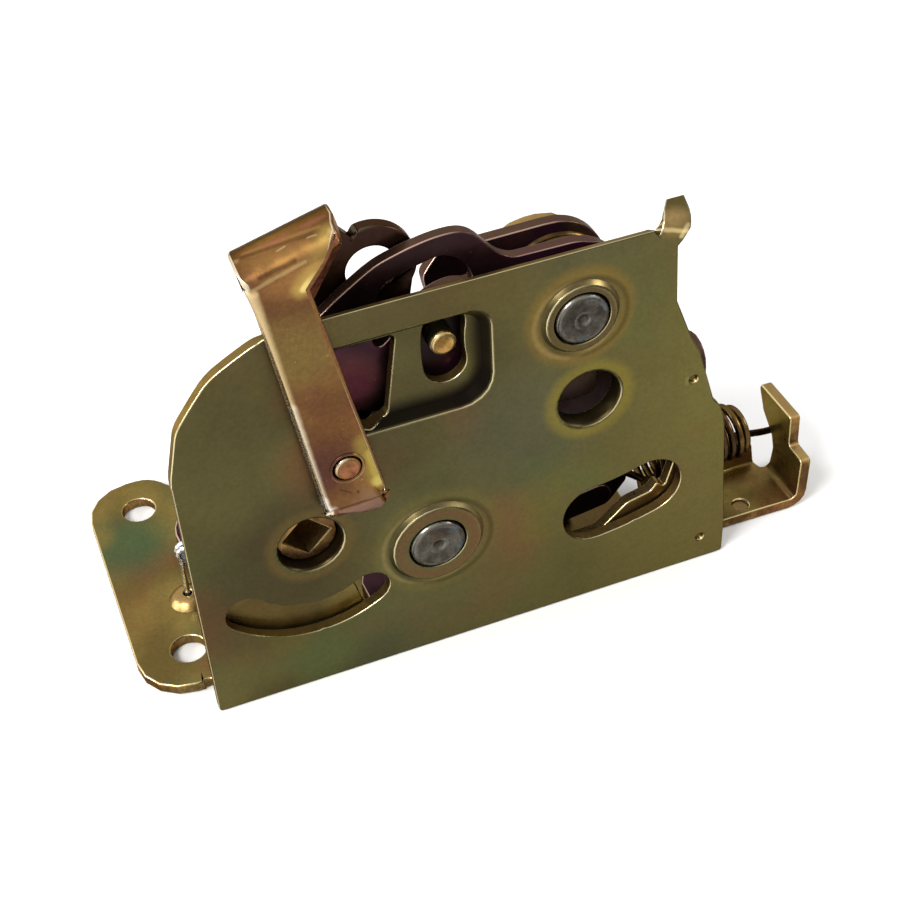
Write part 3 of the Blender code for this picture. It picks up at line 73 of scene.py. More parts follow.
def onPlate(x, z, back=0.0):
    # Place given in mm along, up and behind the side plate's front face, as metres in the frame
    return Vector((corner.x + x * mm, plateFront + back * mm, z * mm))


def colour(red, green, blue):
    # Colour read as 0 to 255 values on a screen, as linear values with alpha
    screen = np.array([red, green, blue]) / 255.0
    linear = np.where(screen < 0.04045, screen / 12.92, ((screen + 0.055) / 1.055) ** 2.4)
    return (*[float(c) for c in linear], 1.0)


def addObject(name, data):
    item = bpy.data.objects.new(name, data)
    scene.collection.objects.link(item)
    return item


def addSurface(name, places, faces):
    # Smooth mesh from places in mm on the side plate
    mesh = bpy.data.meshes.new(name)
    mesh.from_pydata((places * mm + np.array(onPlate(0, 0))).tolist(), [], faces)
    mesh.shade_smooth()
    return addObject(name, mesh)


# Camera, lamps and floor

studio = {
    "lens": 65.28, "sensor": 36.0,
    "cameraPlace": (-0.01791, -0.22739, 0.22481), "cameraAim": (0.04779, -0.035, 0.04526),
    "cameraRoll": -3.645,
    "nearest": 0.01,
    "floorSize": 6.0, "floorDrop": 0.0002, "floorRough": 0.9, "floorColour": (0.86, 0.86, 0.855, 1.0),
    "worldStrength": 0.62,
    "lamps": [
        # name, place, size, power, tint
        ("keyLamp", (-0.42, -0.30, 0.62), 0.30, 5.6, (1.0, 0.985, 0.96)),
        ("leftLamp", (-0.60, 0.10, 0.30), 0.26, 3.4, (1.0, 1.0, 1.0)),
        ("rightLamp", (0.66, -0.16, 0.40), 0.22, 2.2, (1.0, 0.99, 0.97)),
    ],
}


def makeCamera():
    data = bpy.data.cameras.new("camera")
    data.sensor_width = studio["sensor"]
    data.lens = studio["lens"]
    data.clip_start = studio["nearest"]
    camera = addObject("camera", data)
    place = Vector(studio["cameraPlace"])
    look = (Vector(studio["cameraAim"]) - place).to_track_quat("-Z", "Y").to_matrix().to_4x4()
    roll = Matrix.Rotation(math.radians(studio["cameraRoll"]), 4, "Z")
    camera.matrix_world = Matrix.Translation(place) @ look @ roll
    scene.camera = camera
    print("camera set")


def makeLamps():
    middle = (cadBox[0] + cadBox[1]) / 2.0
    for name, place, size, power, tint in studio["lamps"]:
        data = bpy.data.lights.new(name, "AREA")
        data.shape = "DISK"
        data.size = size
        data.energy = power
        data.color = tint
        lamp = addObject(name, data)
        lamp.location = place
        lamp.rotation_mode = "QUATERNION"
        lamp.rotation_quaternion = (middle - Vector(place)).to_track_quat("-Z", "Y")
    print("lamps set")


def makeWorld():
    # White for what the camera sees and metal reflects, dimmer for the light on the object
    world = bpy.data.worlds.new("studio")
    scene.world = world
    world.use_nodes = True
    tree = world.node_tree
    background = tree.nodes["Background"]
    background.inputs["Color"].default_value = (1.0, 1.0, 1.0, 1.0)
    path = tree.nodes.new("ShaderNodeLightPath")
    seen = mathOf(tree, path.outputs["Is Camera Ray"], path.outputs["Is Glossy Ray"], "MAXIMUM")
    seen = mathOf(tree, seen, path.outputs["Is Transmission Ray"], "MAXIMUM")
    strength = tree.nodes.new("ShaderNodeMapRange")
    tree.links.new(seen, strength.inputs["Value"])
    strength.inputs["To Min"].default_value = studio["worldStrength"]
    strength.inputs["To Max"].default_value = 1.0
    tree.links.new(strength.outputs["Result"], background.inputs["Strength"])
    print("world set")


def makeFloor():
    half = studio["floorSize"] / 2.0
    mesh = bpy.data.meshes.new("floor")
    mesh.from_pydata([(-half, -half, 0), (half, -half, 0), (half, half, 0),
                      (-half, half, 0)], [], [(0, 1, 2, 3)])
    floor = addObject("floor", mesh)
    floor.location.z = -studio["floorDrop"]
    material, tree, shader = newMaterial("palePaper")
    shader.inputs["Base Color"].default_value = studio["floorColour"]
    shader.inputs["Roughness"].default_value = studio["floorRough"]
    mesh.materials.append(material)
    print("floor set")


# Node helpers for the finishes

def newMaterial(name):
    material = bpy.data.materials.new(name)
    material.use_nodes = True
    tree = material.node_tree
    return material, tree, tree.nodes["Principled BSDF"]


def feed(tree, sockets, values):
    # Links what is a socket, and sets what is a number or a colour on the node itself
    for socket, value in zip(sockets, values):
        if isinstance(value, bpy.types.NodeSocket):
            tree.links.new(value, socket)
        else:
            socket.default_value = value


def mathOf(tree, a, b, operation):
    node = tree.nodes.new("ShaderNodeMath")
    node.operation = operation
    feed(tree, node.inputs, (a, b))
    return node.outputs[0]


def spread(tree, value, low, high, toLow=0.0, toHigh=1.0):
    # Map Range: value between low and high becomes toLow to toHigh, smoothly and clamped
    node = tree.nodes.new("ShaderNodeMapRange")
    node.interpolation_type = "SMOOTHSTEP"
    tree.links.new(value, node.inputs["Value"])
    for label, number in (("From Min", low), ("From Max", high), ("To Min", toLow), ("To Max", toHigh)):
        node.inputs[label].default_value = number
    return node.outputs["Result"]


def blendColour(tree, factor, a, b):
    # Inputs 0, 6 and 7 are the colour mix's factor and its two colours, output 2 its colour
    node = tree.nodes.new("ShaderNodeMix")
    node.data_type = "RGBA"
    feed(tree, (node.inputs[0], node.inputs[6], node.inputs[7]), (factor, a, b))
    return node.outputs[2]


def objectPlace(tree, stretch=(1.0, 1.0, 1.0), shift=(0.0, 0.0, 0.0)):
    place = tree.nodes.new("ShaderNodeTexCoord")
    mapping = tree.nodes.new("ShaderNodeMapping")
    mapping.inputs["Scale"].default_value = stretch
    mapping.inputs["Location"].default_value = shift
    tree.links.new(place.outputs["Object"], mapping.inputs["Vector"])
    return mapping.outputs["Vector"]


def cloud(tree, perMetre, detail=3.0, stretch=(1.0, 1.0, 1.0), shift=(0.0, 0.0, 0.0), rough=0.55):
    # Noise value whose patches are about 1 / perMetre across
    node = tree.nodes.new("ShaderNodeTexNoise")
    node.inputs["Scale"].default_value = perMetre
    node.inputs["Detail"].default_value = detail
    node.inputs["Roughness"].default_value = rough
    tree.links.new(objectPlace(tree, stretch, shift), node.inputs["Vector"])
    return node.outputs["Fac"]


def axisValue(tree, axis):
    node = tree.nodes.new("ShaderNodeSeparateXYZ")
    tree.links.new(objectPlace(tree), node.inputs[0])
    return node.outputs[axis]


def vectorMath(tree, operation, a, b):
    node = tree.nodes.new("ShaderNodeVectorMath")
    node.operation = operation
    feed(tree, node.inputs, (a, b))
    return node.outputs["Value" if operation in ("DOT_PRODUCT", "DISTANCE") else "Vector"]


def facing(tree, direction):
    # How far the surface looks along a direction, minus 1 to 1, in the piece's own axes
    place = tree.nodes.new("ShaderNodeTexCoord")
    return vectorMath(tree, "DOT_PRODUCT", place.outputs["Normal"], tuple(Vector(direction).normalized()))


def pointDistance(tree, centre):
    return vectorMath(tree, "DISTANCE", objectPlace(tree), tuple(centre))


def lineDistance(tree, start, end, wobble):
    # Distance in metres from a straight mark, made a little uneven by noise:
    # the place's share along the mark is clamped to its length, and the rest is the distance
    noise = tree.nodes.new("ShaderNodeTexNoise")
    noise.inputs["Scale"].default_value = finishMix["wobbleScale"]
    tree.links.new(objectPlace(tree), noise.inputs["Vector"])
    shake = vectorMath(tree, "SUBTRACT", noise.outputs["Color"], (0.5, 0.5, 0.5))
    shake = vectorMath(tree, "MULTIPLY", shake, (wobble, wobble, wobble))
    away = vectorMath(tree, "SUBTRACT", vectorMath(tree, "ADD", objectPlace(tree), shake), tuple(start))
    run = end - start
    along = vectorMath(tree, "DOT_PRODUCT", away, tuple(run.normalized()))
    along = mathOf(tree, mathOf(tree, along, 0.0, "MAXIMUM"), run.length, "MINIMUM")
    spaced = tree.nodes.new("ShaderNodeCombineXYZ")
    for socket in spaced.inputs:
        tree.links.new(along, socket)
    foot = vectorMath(tree, "MULTIPLY", spaced.outputs[0], tuple(run.normalized()))
    return vectorMath(tree, "DISTANCE", away, foot)


def ringDistance(tree, centre):
    # Distance in metres from a line along Y through a place on the side plate
    flat = objectPlace(tree, (1.0, 0.0, 1.0), (-centre.x, 0.0, -centre.z))
    node = tree.nodes.new("ShaderNodeVectorMath")
    node.operation = "LENGTH"
    tree.links.new(flat, node.inputs[0])
    return node.outputs["Value"]


finishMix = {
    "clouds": (0.36, 0.66), "stainEdge": 0.16, "grain": (0.3, 0.7), "specks": (0.72, 0.8), "speckScale": 1.6,
    "roughScale": 6.0, "boreRim": (0.1, 0.5), "wellDepth": (0.15, 0.5), "wellCore": 0.3, "markCore": 0.2,
    "markWobble": 0.6, "mostWobble": 0.25, "wobbleScale": 700.0, "bumpDistance": 0.0001, "turn": 6.283,
    "reflection": (0.45, 0.40, 0.33, 1.0),
}


def zincFinish(name, look):
    # Passivated zinc: clouds of two tones under stains, patches, rings, grain, specks and single marks, with
    # painted shade in bores and wells, painted light and shade by facing, and painted highlights and shade
    # among the patches, rings and marks
    mix = finishMix
    material, tree, shader = newMaterial(name)
    factor = spread(tree, cloud(tree, look["clouds"]), *mix["clouds"])
    tone = blendColour(tree, factor, look["dark"], look["light"])
    for axis, start, end, far, amount in look.get("slopes", ()):
        factor = spread(tree, axisValue(tree, axis), start, end, 0.0, amount)
        tone = blendColour(tree, factor, tone, far)
    for index, (stain, perMetre, low, amount) in enumerate(look["stains"]):
        shift = (3.1 * index + 0.7, 1.7 * index, 2.3 * index + 0.4)
        noise = cloud(tree, perMetre, 2.0, shift=shift)
        factor = spread(tree, noise, low, low + mix["stainEdge"], 0.0, amount)
        tone = blendColour(tree, factor, tone, stain)
    for centre, inner, outer, patch, amount in look.get("patches", ()):
        factor = spread(tree, pointDistance(tree, centre), inner * mm, outer * mm, amount, 0.0)
        tone = blendColour(tree, factor, tone, patch)
    for centre, radius, width, glow, amount in look.get("rings", ()):
        away = mathOf(tree, ringDistance(tree, centre), radius, "SUBTRACT")
        away = mathOf(tree, away, 0.0, "ABSOLUTE")
        tone = blendColour(tree, spread(tree, away, 0.0, width, amount, 0.0), tone, glow)
    grain = cloud(tree, look["grain"], 5.0, look.get("grainStretch", (1.0, 1.0, 1.0)), rough=0.7)
    tone = blendColour(tree, spread(tree, grain, *mix["grain"], look["grainDepth"], 0.0), tone,
                       (0.0, 0.0, 0.0, 1.0))
    speckle = cloud(tree, look["grain"] * mix["speckScale"], 2.0, shift=(5.0, 2.0, 1.0))
    tone = blendColour(tree, spread(tree, speckle, *mix["specks"], 0.0, look["specks"]), tone, look["bright"])
    # painted shade inside holes
    for centre, radius, inside, amount in look.get("bores", ()):
        low, high = ((radius + rim) * mm for rim in mix["boreRim"])
        factor = spread(tree, ringDistance(tree, centre), low, high, amount, 0.0)
        tone = blendColour(tree, factor, tone, inside)
    # painted shade along the pocket's walls, only behind the front face
    for start, end, width, shade, amount in look.get("wells", ()):
        away = lineDistance(tree, start, end, 0.0)
        factor = spread(tree, away, width * mix["wellCore"] * mm, width * mm, amount, 0.0)
        sunk = spread(tree, axisValue(tree, 1), *(plateFront + depth * mm for depth in mix["wellDepth"]))
        tone = blendColour(tree, mathOf(tree, factor, sunk, "MULTIPLY"), tone, shade)
    # painted light and shade: colour set by the way the surface faces
    for direction, low, high, glow, amount in look.get("turned", ()):
        factor = spread(tree, facing(tree, direction), low, high, 0.0, amount)
        tone = blendColour(tree, factor, tone, glow)
    for axis, start, end, far, amount in look.get("fades", ()):
        factor = spread(tree, axisValue(tree, axis), start, end, 0.0, amount)
        tone = blendColour(tree, factor, tone, far)
    # marks, and the edge highlights, which are painted highlights
    for start, end, width, mark, amount in tuple(look.get("marks", ())) + tuple(look.get("edgeHighlights", ())):
        shake = min(width * mix["markWobble"], mix["mostWobble"]) * mm
        away = lineDistance(tree, start, end, shake)
        factor = spread(tree, away, width * mix["markCore"] * mm, width * mm, amount, 0.0)
        tone = blendColour(tree, factor, tone, mark)
    tree.links.new(tone, shader.inputs["Base Color"])
    shader.inputs["Metallic"].default_value = look["metal"]
    shader.inputs["Specular Tint"].default_value = mix["reflection"]
    fog = cloud(tree, look["clouds"] * mix["roughScale"])
    tree.links.new(spread(tree, fog, *mix["grain"], *look["rough"]), shader.inputs["Roughness"])
    bump = tree.nodes.new("ShaderNodeBump")
    bump.inputs["Strength"].default_value = look["bump"]
    bump.inputs["Distance"].default_value = mix["bumpDistance"]
    height = grain
    for centre, spacing, depth in look.get("lathe", ()):
        wave = mathOf(tree, ringDistance(tree, centre), mix["turn"] / (spacing * mm), "MULTIPLY")
        wave = mathOf(tree, wave, 0.0, "SINE")
        height = mathOf(tree, height, mathOf(tree, wave, depth, "MULTIPLY"), "ADD")
    tree.links.new(height, bump.inputs["Height"])
    tree.links.new(bump.outputs["Normal"], shader.inputs["Normal"])
    return material


# Finishes of the lock. What the rows of each list give, with strengths from 0 to 1:
# slopes and fades: axis, start and end in metres, colour, strength
# patches: centre, inner and outer radius in mm, colour, strength
# stains: colour, patches per metre, least noise value, strength
# rings: centre, radius and width in metres, colour, strength
# bores, painted shade inside holes: centre, radius in mm, colour, strength
# wells (painted shade), marks and edge highlights: start, end, width in mm, colour, strength; wells lie only
# behind the front face, and the edge highlights (painted) are kept on the cut and worn finishes too
# turned, painted light and shade by facing: direction, low and high share that the surface looks that way,
# colour, strength
# lathe: centre, spacing in mm, depth

holes = {
    "upper": onPlate(69.9, 65.5), "lower": onPlate(42.7, 25.5),
    "sight": onPlate(71.7, 47.4), "hub": onPlate(20.6, 33.3),
}

plateLook = {
    "dark": colour(74, 68, 42), "light": colour(90, 84, 50), "clouds": 26.0, "grain": 1500.0,
    "grainDepth": 0.16,
    "specks": 0.3, "bright": colour(176, 160, 110), "metal": 0.9, "rough": (0.34, 0.46), "bump": 0.10,
    # lighter towards the right: painted reflection; browner towards the top
    "slopes": [(0, 0.060, 0.100, colour(106, 98, 54), 0.8), (2, 0.066, 0.078, colour(94, 78, 46), 0.45)],
    "patches": [(onPlate(14, 28), 6.0, 26.0, colour(58, 48, 34), 0.75),
                (onPlate(60, 46), 4.0, 20.0, colour(76, 76, 58), 0.7),
                (onPlate(5, 50), 4.0, 14.0, colour(84, 80, 48), 0.5),
                (onPlate(92, 14), 5.0, 26.0, colour(100, 90, 52), 0.6),
                (onPlate(46, 10), 5.0, 18.0, colour(86, 80, 50), 0.6),
                (onPlate(80, 72), 4.0, 16.0, colour(90, 84, 52), 0.6),
                (onPlate(30, 46), 4.0, 14.0, colour(76, 62, 42), 0.5),
                (onPlate(86.5, 79.5), 1.0, 4.2, colour(150, 124, 80), 0.9)],
    "stains": [(colour(76, 92, 54), 34.0, 0.52, 0.5), (colour(112, 72, 48), 30.0, 0.54, 0.5),
               (colour(104, 96, 44), 44.0, 0.58, 0.4), (colour(62, 74, 58), 24.0, 0.58, 0.35)],
    "rings": [(holes["upper"], 8.4 * mm, 2.4 * mm, colour(122, 98, 46), 0.6),
              (holes["lower"], 10.4 * mm, 2.2 * mm, colour(98, 90, 50), 0.55),
              (holes["sight"], 6.9 * mm, 2.4 * mm, colour(126, 112, 46), 0.6),
              (holes["hub"], 6.9 * mm, 2.0 * mm, colour(98, 80, 44), 0.5),
              (holes["upper"], 5.8 * mm, 1.5 * mm, colour(84, 64, 44), 0.7),
              (holes["lower"], 7.0 * mm, 1.9 * mm, colour(100, 72, 50), 0.7),
              # painted highlights lower left of the two bosses, then painted shadows lower right of them
              (holes["upper"] + Vector((-0.9, 0.0, -0.5)) * mm, 7.3 * mm, 0.8 * mm,
               colour(150, 128, 84), 0.45),
              (holes["lower"] + Vector((-0.8, 0.0, -0.3)) * mm, 9.0 * mm, 0.8 * mm,
               colour(140, 122, 82), 0.4),
              (holes["upper"] + Vector((0.9, 0.0, -0.5)) * mm, 7.5 * mm, 0.9 * mm, colour(40, 34, 24), 0.45),
              (holes["lower"] + Vector((0.9, 0.0, -0.6)) * mm, 9.3 * mm, 0.9 * mm, colour(40, 34, 24), 0.45)],
    # painted shade inside the sight and hub holes
    "bores": [(holes["sight"], 5.6, colour(40, 32, 20), 0.85), (holes["hub"], 5.6, colour(44, 32, 20), 0.8)],
    "wells": [
        # painted shade on the pocket's lower and right walls
        (onPlate(24.5, 53.4, 2.4), onPlate(50.8, 53.4, 2.4), 5.2, colour(12, 9, 6), 0.96),
        (onPlate(54.2, 57.4, 2.2), onPlate(54.2, 69.6, 2.2), 4.2, colour(16, 12, 8), 0.92),
        (onPlate(50.8, 53.6, 2.3), onPlate(54.1, 57.2, 2.3), 4.6, colour(14, 10, 7), 0.94),
    ],
    "marks": [
        (onPlate(84.4, 77.9, 0.2), onPlate(88.8, 76.4, 0.2), 0.6, colour(226, 200, 140), 0.6),
        (onPlate(88.6, 77.6, 0.0), onPlate(87.6, 75.9, 0.0), 0.7, colour(230, 206, 150), 0.5),
        (onPlate(90.2, 45.6, 0.0), onPlate(90.4, 44.6, 0.0), 0.7, colour(132, 118, 70), 0.5),
    ],
}
baseLook = {
    "dark": colour(110, 92, 50), "light": colour(140, 120, 64), "clouds": 60.0, "grain": 1400.0,
    "grainDepth": 0.18,
    "specks": 0.35, "bright": colour(220, 200, 146), "metal": 0.9, "rough": (0.26, 0.40), "bump": 0.12,
    "stains": [(colour(92, 104, 66), 48.0, 0.56, 0.45), (colour(128, 82, 56), 56.0, 0.56, 0.5)],
    "patches": [(onPlate(-6, 2.2, 46), 3.0, 13.0, colour(66, 96, 66), 0.75),
                (onPlate(-11, 2.2, 50), 1.0, 5.0, colour(160, 132, 62), 0.4),
                (onPlate(-10, 2.2, 26), 2.0, 9.0, colour(146, 114, 62), 0.4),
                (onPlate(0.6, 3.8, 26.3), 0.8, 2.4, colour(160, 96, 84), 0.8),
                # painted shade on the floor and leg behind the side plate
                (onPlate(12, 20, 2.4), 6.0, 24.0, colour(62, 50, 30), 0.7),
                (onPlate(84, 20, 2.6), 6.0, 18.0, colour(70, 48, 38), 0.6),
                (onPlate(84, 2.2, 14), 4.0, 20.0, colour(60, 42, 28), 0.7)],
}
leverLook = {
    "dark": colour(94, 62, 40), "light": colour(122, 88, 50), "clouds": 90.0, "grain": 1300.0,
    "grainDepth": 0.22,
    "specks": 0.4, "bright": colour(206, 178, 122), "metal": 0.92, "rough": (0.26, 0.40), "bump": 0.16,
    "stains": [(colour(104, 92, 48), 80.0, 0.56, 0.5), (colour(104, 60, 52), 90.0, 0.56, 0.45)],
    "patches": [(onPlate(22, 76, -3.6), 2.0, 11.0, colour(112, 96, 52), 0.7),
                (onPlate(27.5, 61, -3.6), 1.0, 6.0, colour(124, 84, 46), 0.45),
                (onPlate(25.0, 64, -3.6), 1.0, 8.0, colour(92, 62, 38), 0.6),
                (onPlate(26.0, 55, -3.6), 1.0, 8.0, colour(84, 52, 36), 0.55),
                (onPlate(23.5, 52, -3.6), 1.0, 9.0, colour(76, 46, 42), 0.75),
                (onPlate(22, 92, 0.0), 2.0, 9.0, colour(160, 116, 66), 0.8),
                # painted highlight spots: right of the stud, and at the tip's left corner
                (onPlate(32.4, 46.6, -3.6), 0.2, 1.7, colour(232, 216, 124), 0.7),
                (onPlate(24.0, 42.6, -3.0), 0.3, 1.8, colour(236, 226, 216), 0.8)],
    # darker from 5.6 mm behind the plate's front, fully from 7.6 mm: painted shade
    "fades": [(1, plateFront + 5.6 * mm, plateFront + 7.6 * mm, colour(38, 25, 23), 0.9)],
    # lighter pinkish grey on faces that look down: painted reflection
    "turned": [((-0.1, -0.25, -1.0), 0.25, 0.7, colour(160, 128, 120), 0.75)],
    "edgeHighlights": [
        # painted highlights along the arm's left and right edges and the head's left bend
        (onPlate(16.8, 88.4, -3.3), onPlate(19.9, 66.0, -3.3), 1.15, colour(186, 164, 120), 0.8),
        (onPlate(19.9, 66.0, -3.3), onPlate(23.0, 43.6, -3.3), 1.30, colour(204, 190, 162), 0.9),
        (onPlate(22.8, 45.5, -3.3), onPlate(23.3, 43.0, -3.3), 1.25, colour(236, 228, 214), 0.9),
        (onPlate(28.6, 75.4, -3.6), onPlate(34.0, 46.4, -3.6), 0.45, colour(210, 180, 140), 0.5),
        (onPlate(16.2, 90.8, 1.6), onPlate(16.9, 88.4, -3.4), 0.9, colour(214, 186, 130), 0.5),
    ],
    "marks": [
        # on the head: bright lines and dashes are painted highlights, dark lines painted shade along the
        # crease, ridges and rear bend; the two pink bands are the cut edge's colour
        (onPlate(16.6, 89.0, -3.45), onPlate(25.0, 91.6, -3.28), 0.45, colour(206, 176, 122), 0.4),
        (onPlate(18.2, 90.5, -2.92), onPlate(23.6, 92.0, -2.94), 0.60, colour(52, 32, 20), 0.6),
        (onPlate(17.2, 91.56, 1.75), onPlate(28.1, 94.36, -0.9), 0.7, colour(76, 48, 32), 0.45),
        (onPlate(17.4, 91.7, 2.5), onPlate(28.4, 94.5, 0.1), 0.6, colour(176, 132, 86), 0.4),
        (onPlate(20.5, 92.44, 1.84), onPlate(23.6, 93.26, 1.6), 0.9, colour(168, 100, 84), 0.4),
        (onPlate(26.6, 94.08, 1.92), onPlate(29.6, 94.87, 1.79), 0.9, colour(168, 100, 84), 0.4),
        (onPlate(21.8, 92.73, -0.6), onPlate(23.0, 93.1, -0.5), 0.28, colour(240, 214, 160), 0.3),
        (onPlate(26.4, 93.9, -1.0), onPlate(27.6, 94.2, -1.2), 0.28, colour(240, 214, 160), 0.3),
        (onPlate(18.6, 90.9, -1.0), onPlate(26.0, 93.0, -2.0), 1.6, colour(150, 112, 62), 0.5),
        (onPlate(16.5, 90.4, 5.61), onPlate(31.0, 94.4, 5.35), 2.8, colour(70, 56, 32), 0.75),
        # painted highlight along the flare, in three layers; the pink band after it is the cut edge's colour
        (onPlate(23.9, 87.4, -3.6), onPlate(29.4, 94.2, -1.5), 2.4, colour(186, 156, 82), 0.55),
        (onPlate(24.2, 87.2, -3.6), onPlate(29.8, 94.1, -1.4), 0.9, colour(232, 214, 132), 0.6),
        (onPlate(24.9, 87.0, -3.6), onPlate(30.75, 94.0, -1.18), 0.40, colour(255, 246, 214), 0.8),
        (onPlate(26.4, 86.6, -3.0), onPlate(31.6, 92.6, -1.2), 0.9, colour(176, 96, 80), 0.6),
        (onPlate(27.6, 45.8, -3.6), onPlate(25.9, 47.0, -3.6), 0.25, colour(60, 34, 26), 0.6),
        (onPlate(28.8, 45.7, -3.6), onPlate(28.9, 45.3, -3.6), 0.35, colour(60, 34, 26), 0.7),
        # painted highlight right of the stud
        (onPlate(30.6, 55.6, -3.6), onPlate(32.4, 47.2, -3.6), 2.6, colour(146, 128, 60), 0.5),
        (onPlate(31.3, 53.0, -3.6), onPlate(32.3, 47.4, -3.6), 1.1, colour(176, 162, 76), 0.4),
        # painted shade along the bottom of the arm's front face at the tip
        (onPlate(24.0, 42.9, -3.5), onPlate(33.4, 43.1, -3.4), 0.45, colour(64, 40, 34), 0.75),
    ],
}
innerLook = {
    "dark": colour(38, 24, 28), "light": colour(66, 38, 46), "clouds": 70.0, "grain": 1500.0,
    "grainDepth": 0.2,
    "specks": 0.3, "bright": colour(190, 160, 130), "metal": 0.72, "rough": (0.28, 0.42), "bump": 0.12,
    "stains": [(colour(84, 34, 64), 50.0, 0.54, 0.6), (colour(80, 62, 38), 60.0, 0.56, 0.55)],
    "patches": [(onPlate(32, 61, 4.9), 2.0, 8.0, colour(74, 26, 38), 0.85),
                # painted shade where the inner levers are seen deep behind the plate's openings
                (onPlate(46, 66, 4.9), 4.0, 9.0, colour(16, 10, 10), 0.95),
                (onPlate(38, 55, 4.9), 1.5, 5.5, colour(26, 17, 14), 0.9),
                (onPlate(34, 71, 4.9), 1.0, 6.0, colour(22, 13, 13), 0.85),
                (onPlate(45, 81, 4.9), 6.0, 18.0, colour(34, 20, 22), 0.8),
                (onPlate(72, 47, 12.3), 6.0, 16.0, colour(48, 36, 26), 0.8),
                (onPlate(78, 18, 12.3), 6.0, 14.0, colour(30, 20, 18), 0.8)],
}
pinLook = {
    "dark": colour(70, 70, 68), "light": colour(96, 94, 88), "clouds": 260.0, "grain": 1800.0,
    "grainDepth": 0.25,
    "specks": 0.3, "bright": colour(176, 176, 172), "metal": 0.85, "rough": (0.34, 0.50), "bump": 0.25,
    "stains": [(colour(84, 96, 100), 300.0, 0.55, 0.6), (colour(86, 72, 62), 260.0, 0.56, 0.5)],
    "rings": [(holes["lower"], 0.7 * mm, 0.7 * mm, colour(128, 128, 122), 0.6),
              (holes["lower"], 4.6 * mm, 0.9 * mm, colour(60, 58, 54), 0.7),
              (holes["upper"], 4.3 * mm, 0.9 * mm, colour(56, 48, 42), 0.7),
              (holes["upper"], 2.3 * mm, 0.5 * mm, colour(110, 102, 92), 0.5)],
    "lathe": [(holes["upper"], 0.9, 0.5), (holes["lower"], 1.1, 0.4)],
}
driveLook = {
    "dark": colour(66, 60, 36), "light": colour(92, 84, 52), "clouds": 200.0, "grain": 1500.0,
    "grainDepth": 0.2,
    "specks": 0.4, "bright": colour(210, 190, 140), "metal": 0.9, "rough": (0.28, 0.42), "bump": 0.15,
    "stains": [(colour(120, 84, 50), 200.0, 0.56, 0.5)],
}
springLook = {
    "dark": colour(62, 46, 28), "light": colour(104, 82, 46), "clouds": 200.0, "grain": 1800.0,
    "grainDepth": 0.2,
    "specks": 0.3, "bright": colour(235, 215, 165), "metal": 0.95, "rough": (0.20, 0.32), "bump": 0.08,
    "stains": [(colour(84, 50, 42), 160.0, 0.54, 0.6)],
    "fades": [(0, onPlate(109.4, 0).x, onPlate(110.8, 0).x, colour(44, 30, 28), 0.9)],
}
wireLook = {
    "dark": colour(168, 170, 174), "light": colour(206, 208, 212), "clouds": 200.0, "grain": 1800.0,
    "grainDepth": 0.1,
    "specks": 0.2, "bright": colour(250, 250, 250), "metal": 0.95, "rough": (0.18, 0.30), "bump": 0.05,
    "stains": [(colour(140, 140, 146), 150.0, 0.56, 0.5)],
}


def plainLook(look):
    # A finish without what belongs to single places on its faces
    return {key: value for key, value in look.items()
            if key not in ("slopes", "rings", "patches", "marks", "lathe", "wells", "bores")}


def cutLook(look, dark, light, lit, streaks, patches=()):
    # The same finish on a sheared edge: dark and streaked, with a painted highlight where it faces up
    made = plainLook(look)
    made.update({"dark": dark, "light": light, "clouds": 220.0, "grainStretch": streaks, "grainDepth": 0.4,
                 "specks": 0.8, "bump": 0.5, "patches": patches,
                 # painted highlight on cut edges that face up
                 "turned": [((-0.3, 0.0, 1.0), 0.2, 0.8, lit, 0.6)]})
    return made


def wornHighlitLook(look, dark, light):
    # The same finish along a rounded edge, with wear specks and a painted highlight where it faces up or to
    # the left
    made = plainLook(look)
    made.update({"clouds": 300.0, "rough": (0.18, 0.34), "grainDepth": 0.3, "specks": 0.6, "bump": 0.12,
                 "dark": dark, "turned": [((-0.75, -0.25, 0.62), 0.35, 0.85, light, 0.9)]})
    return made


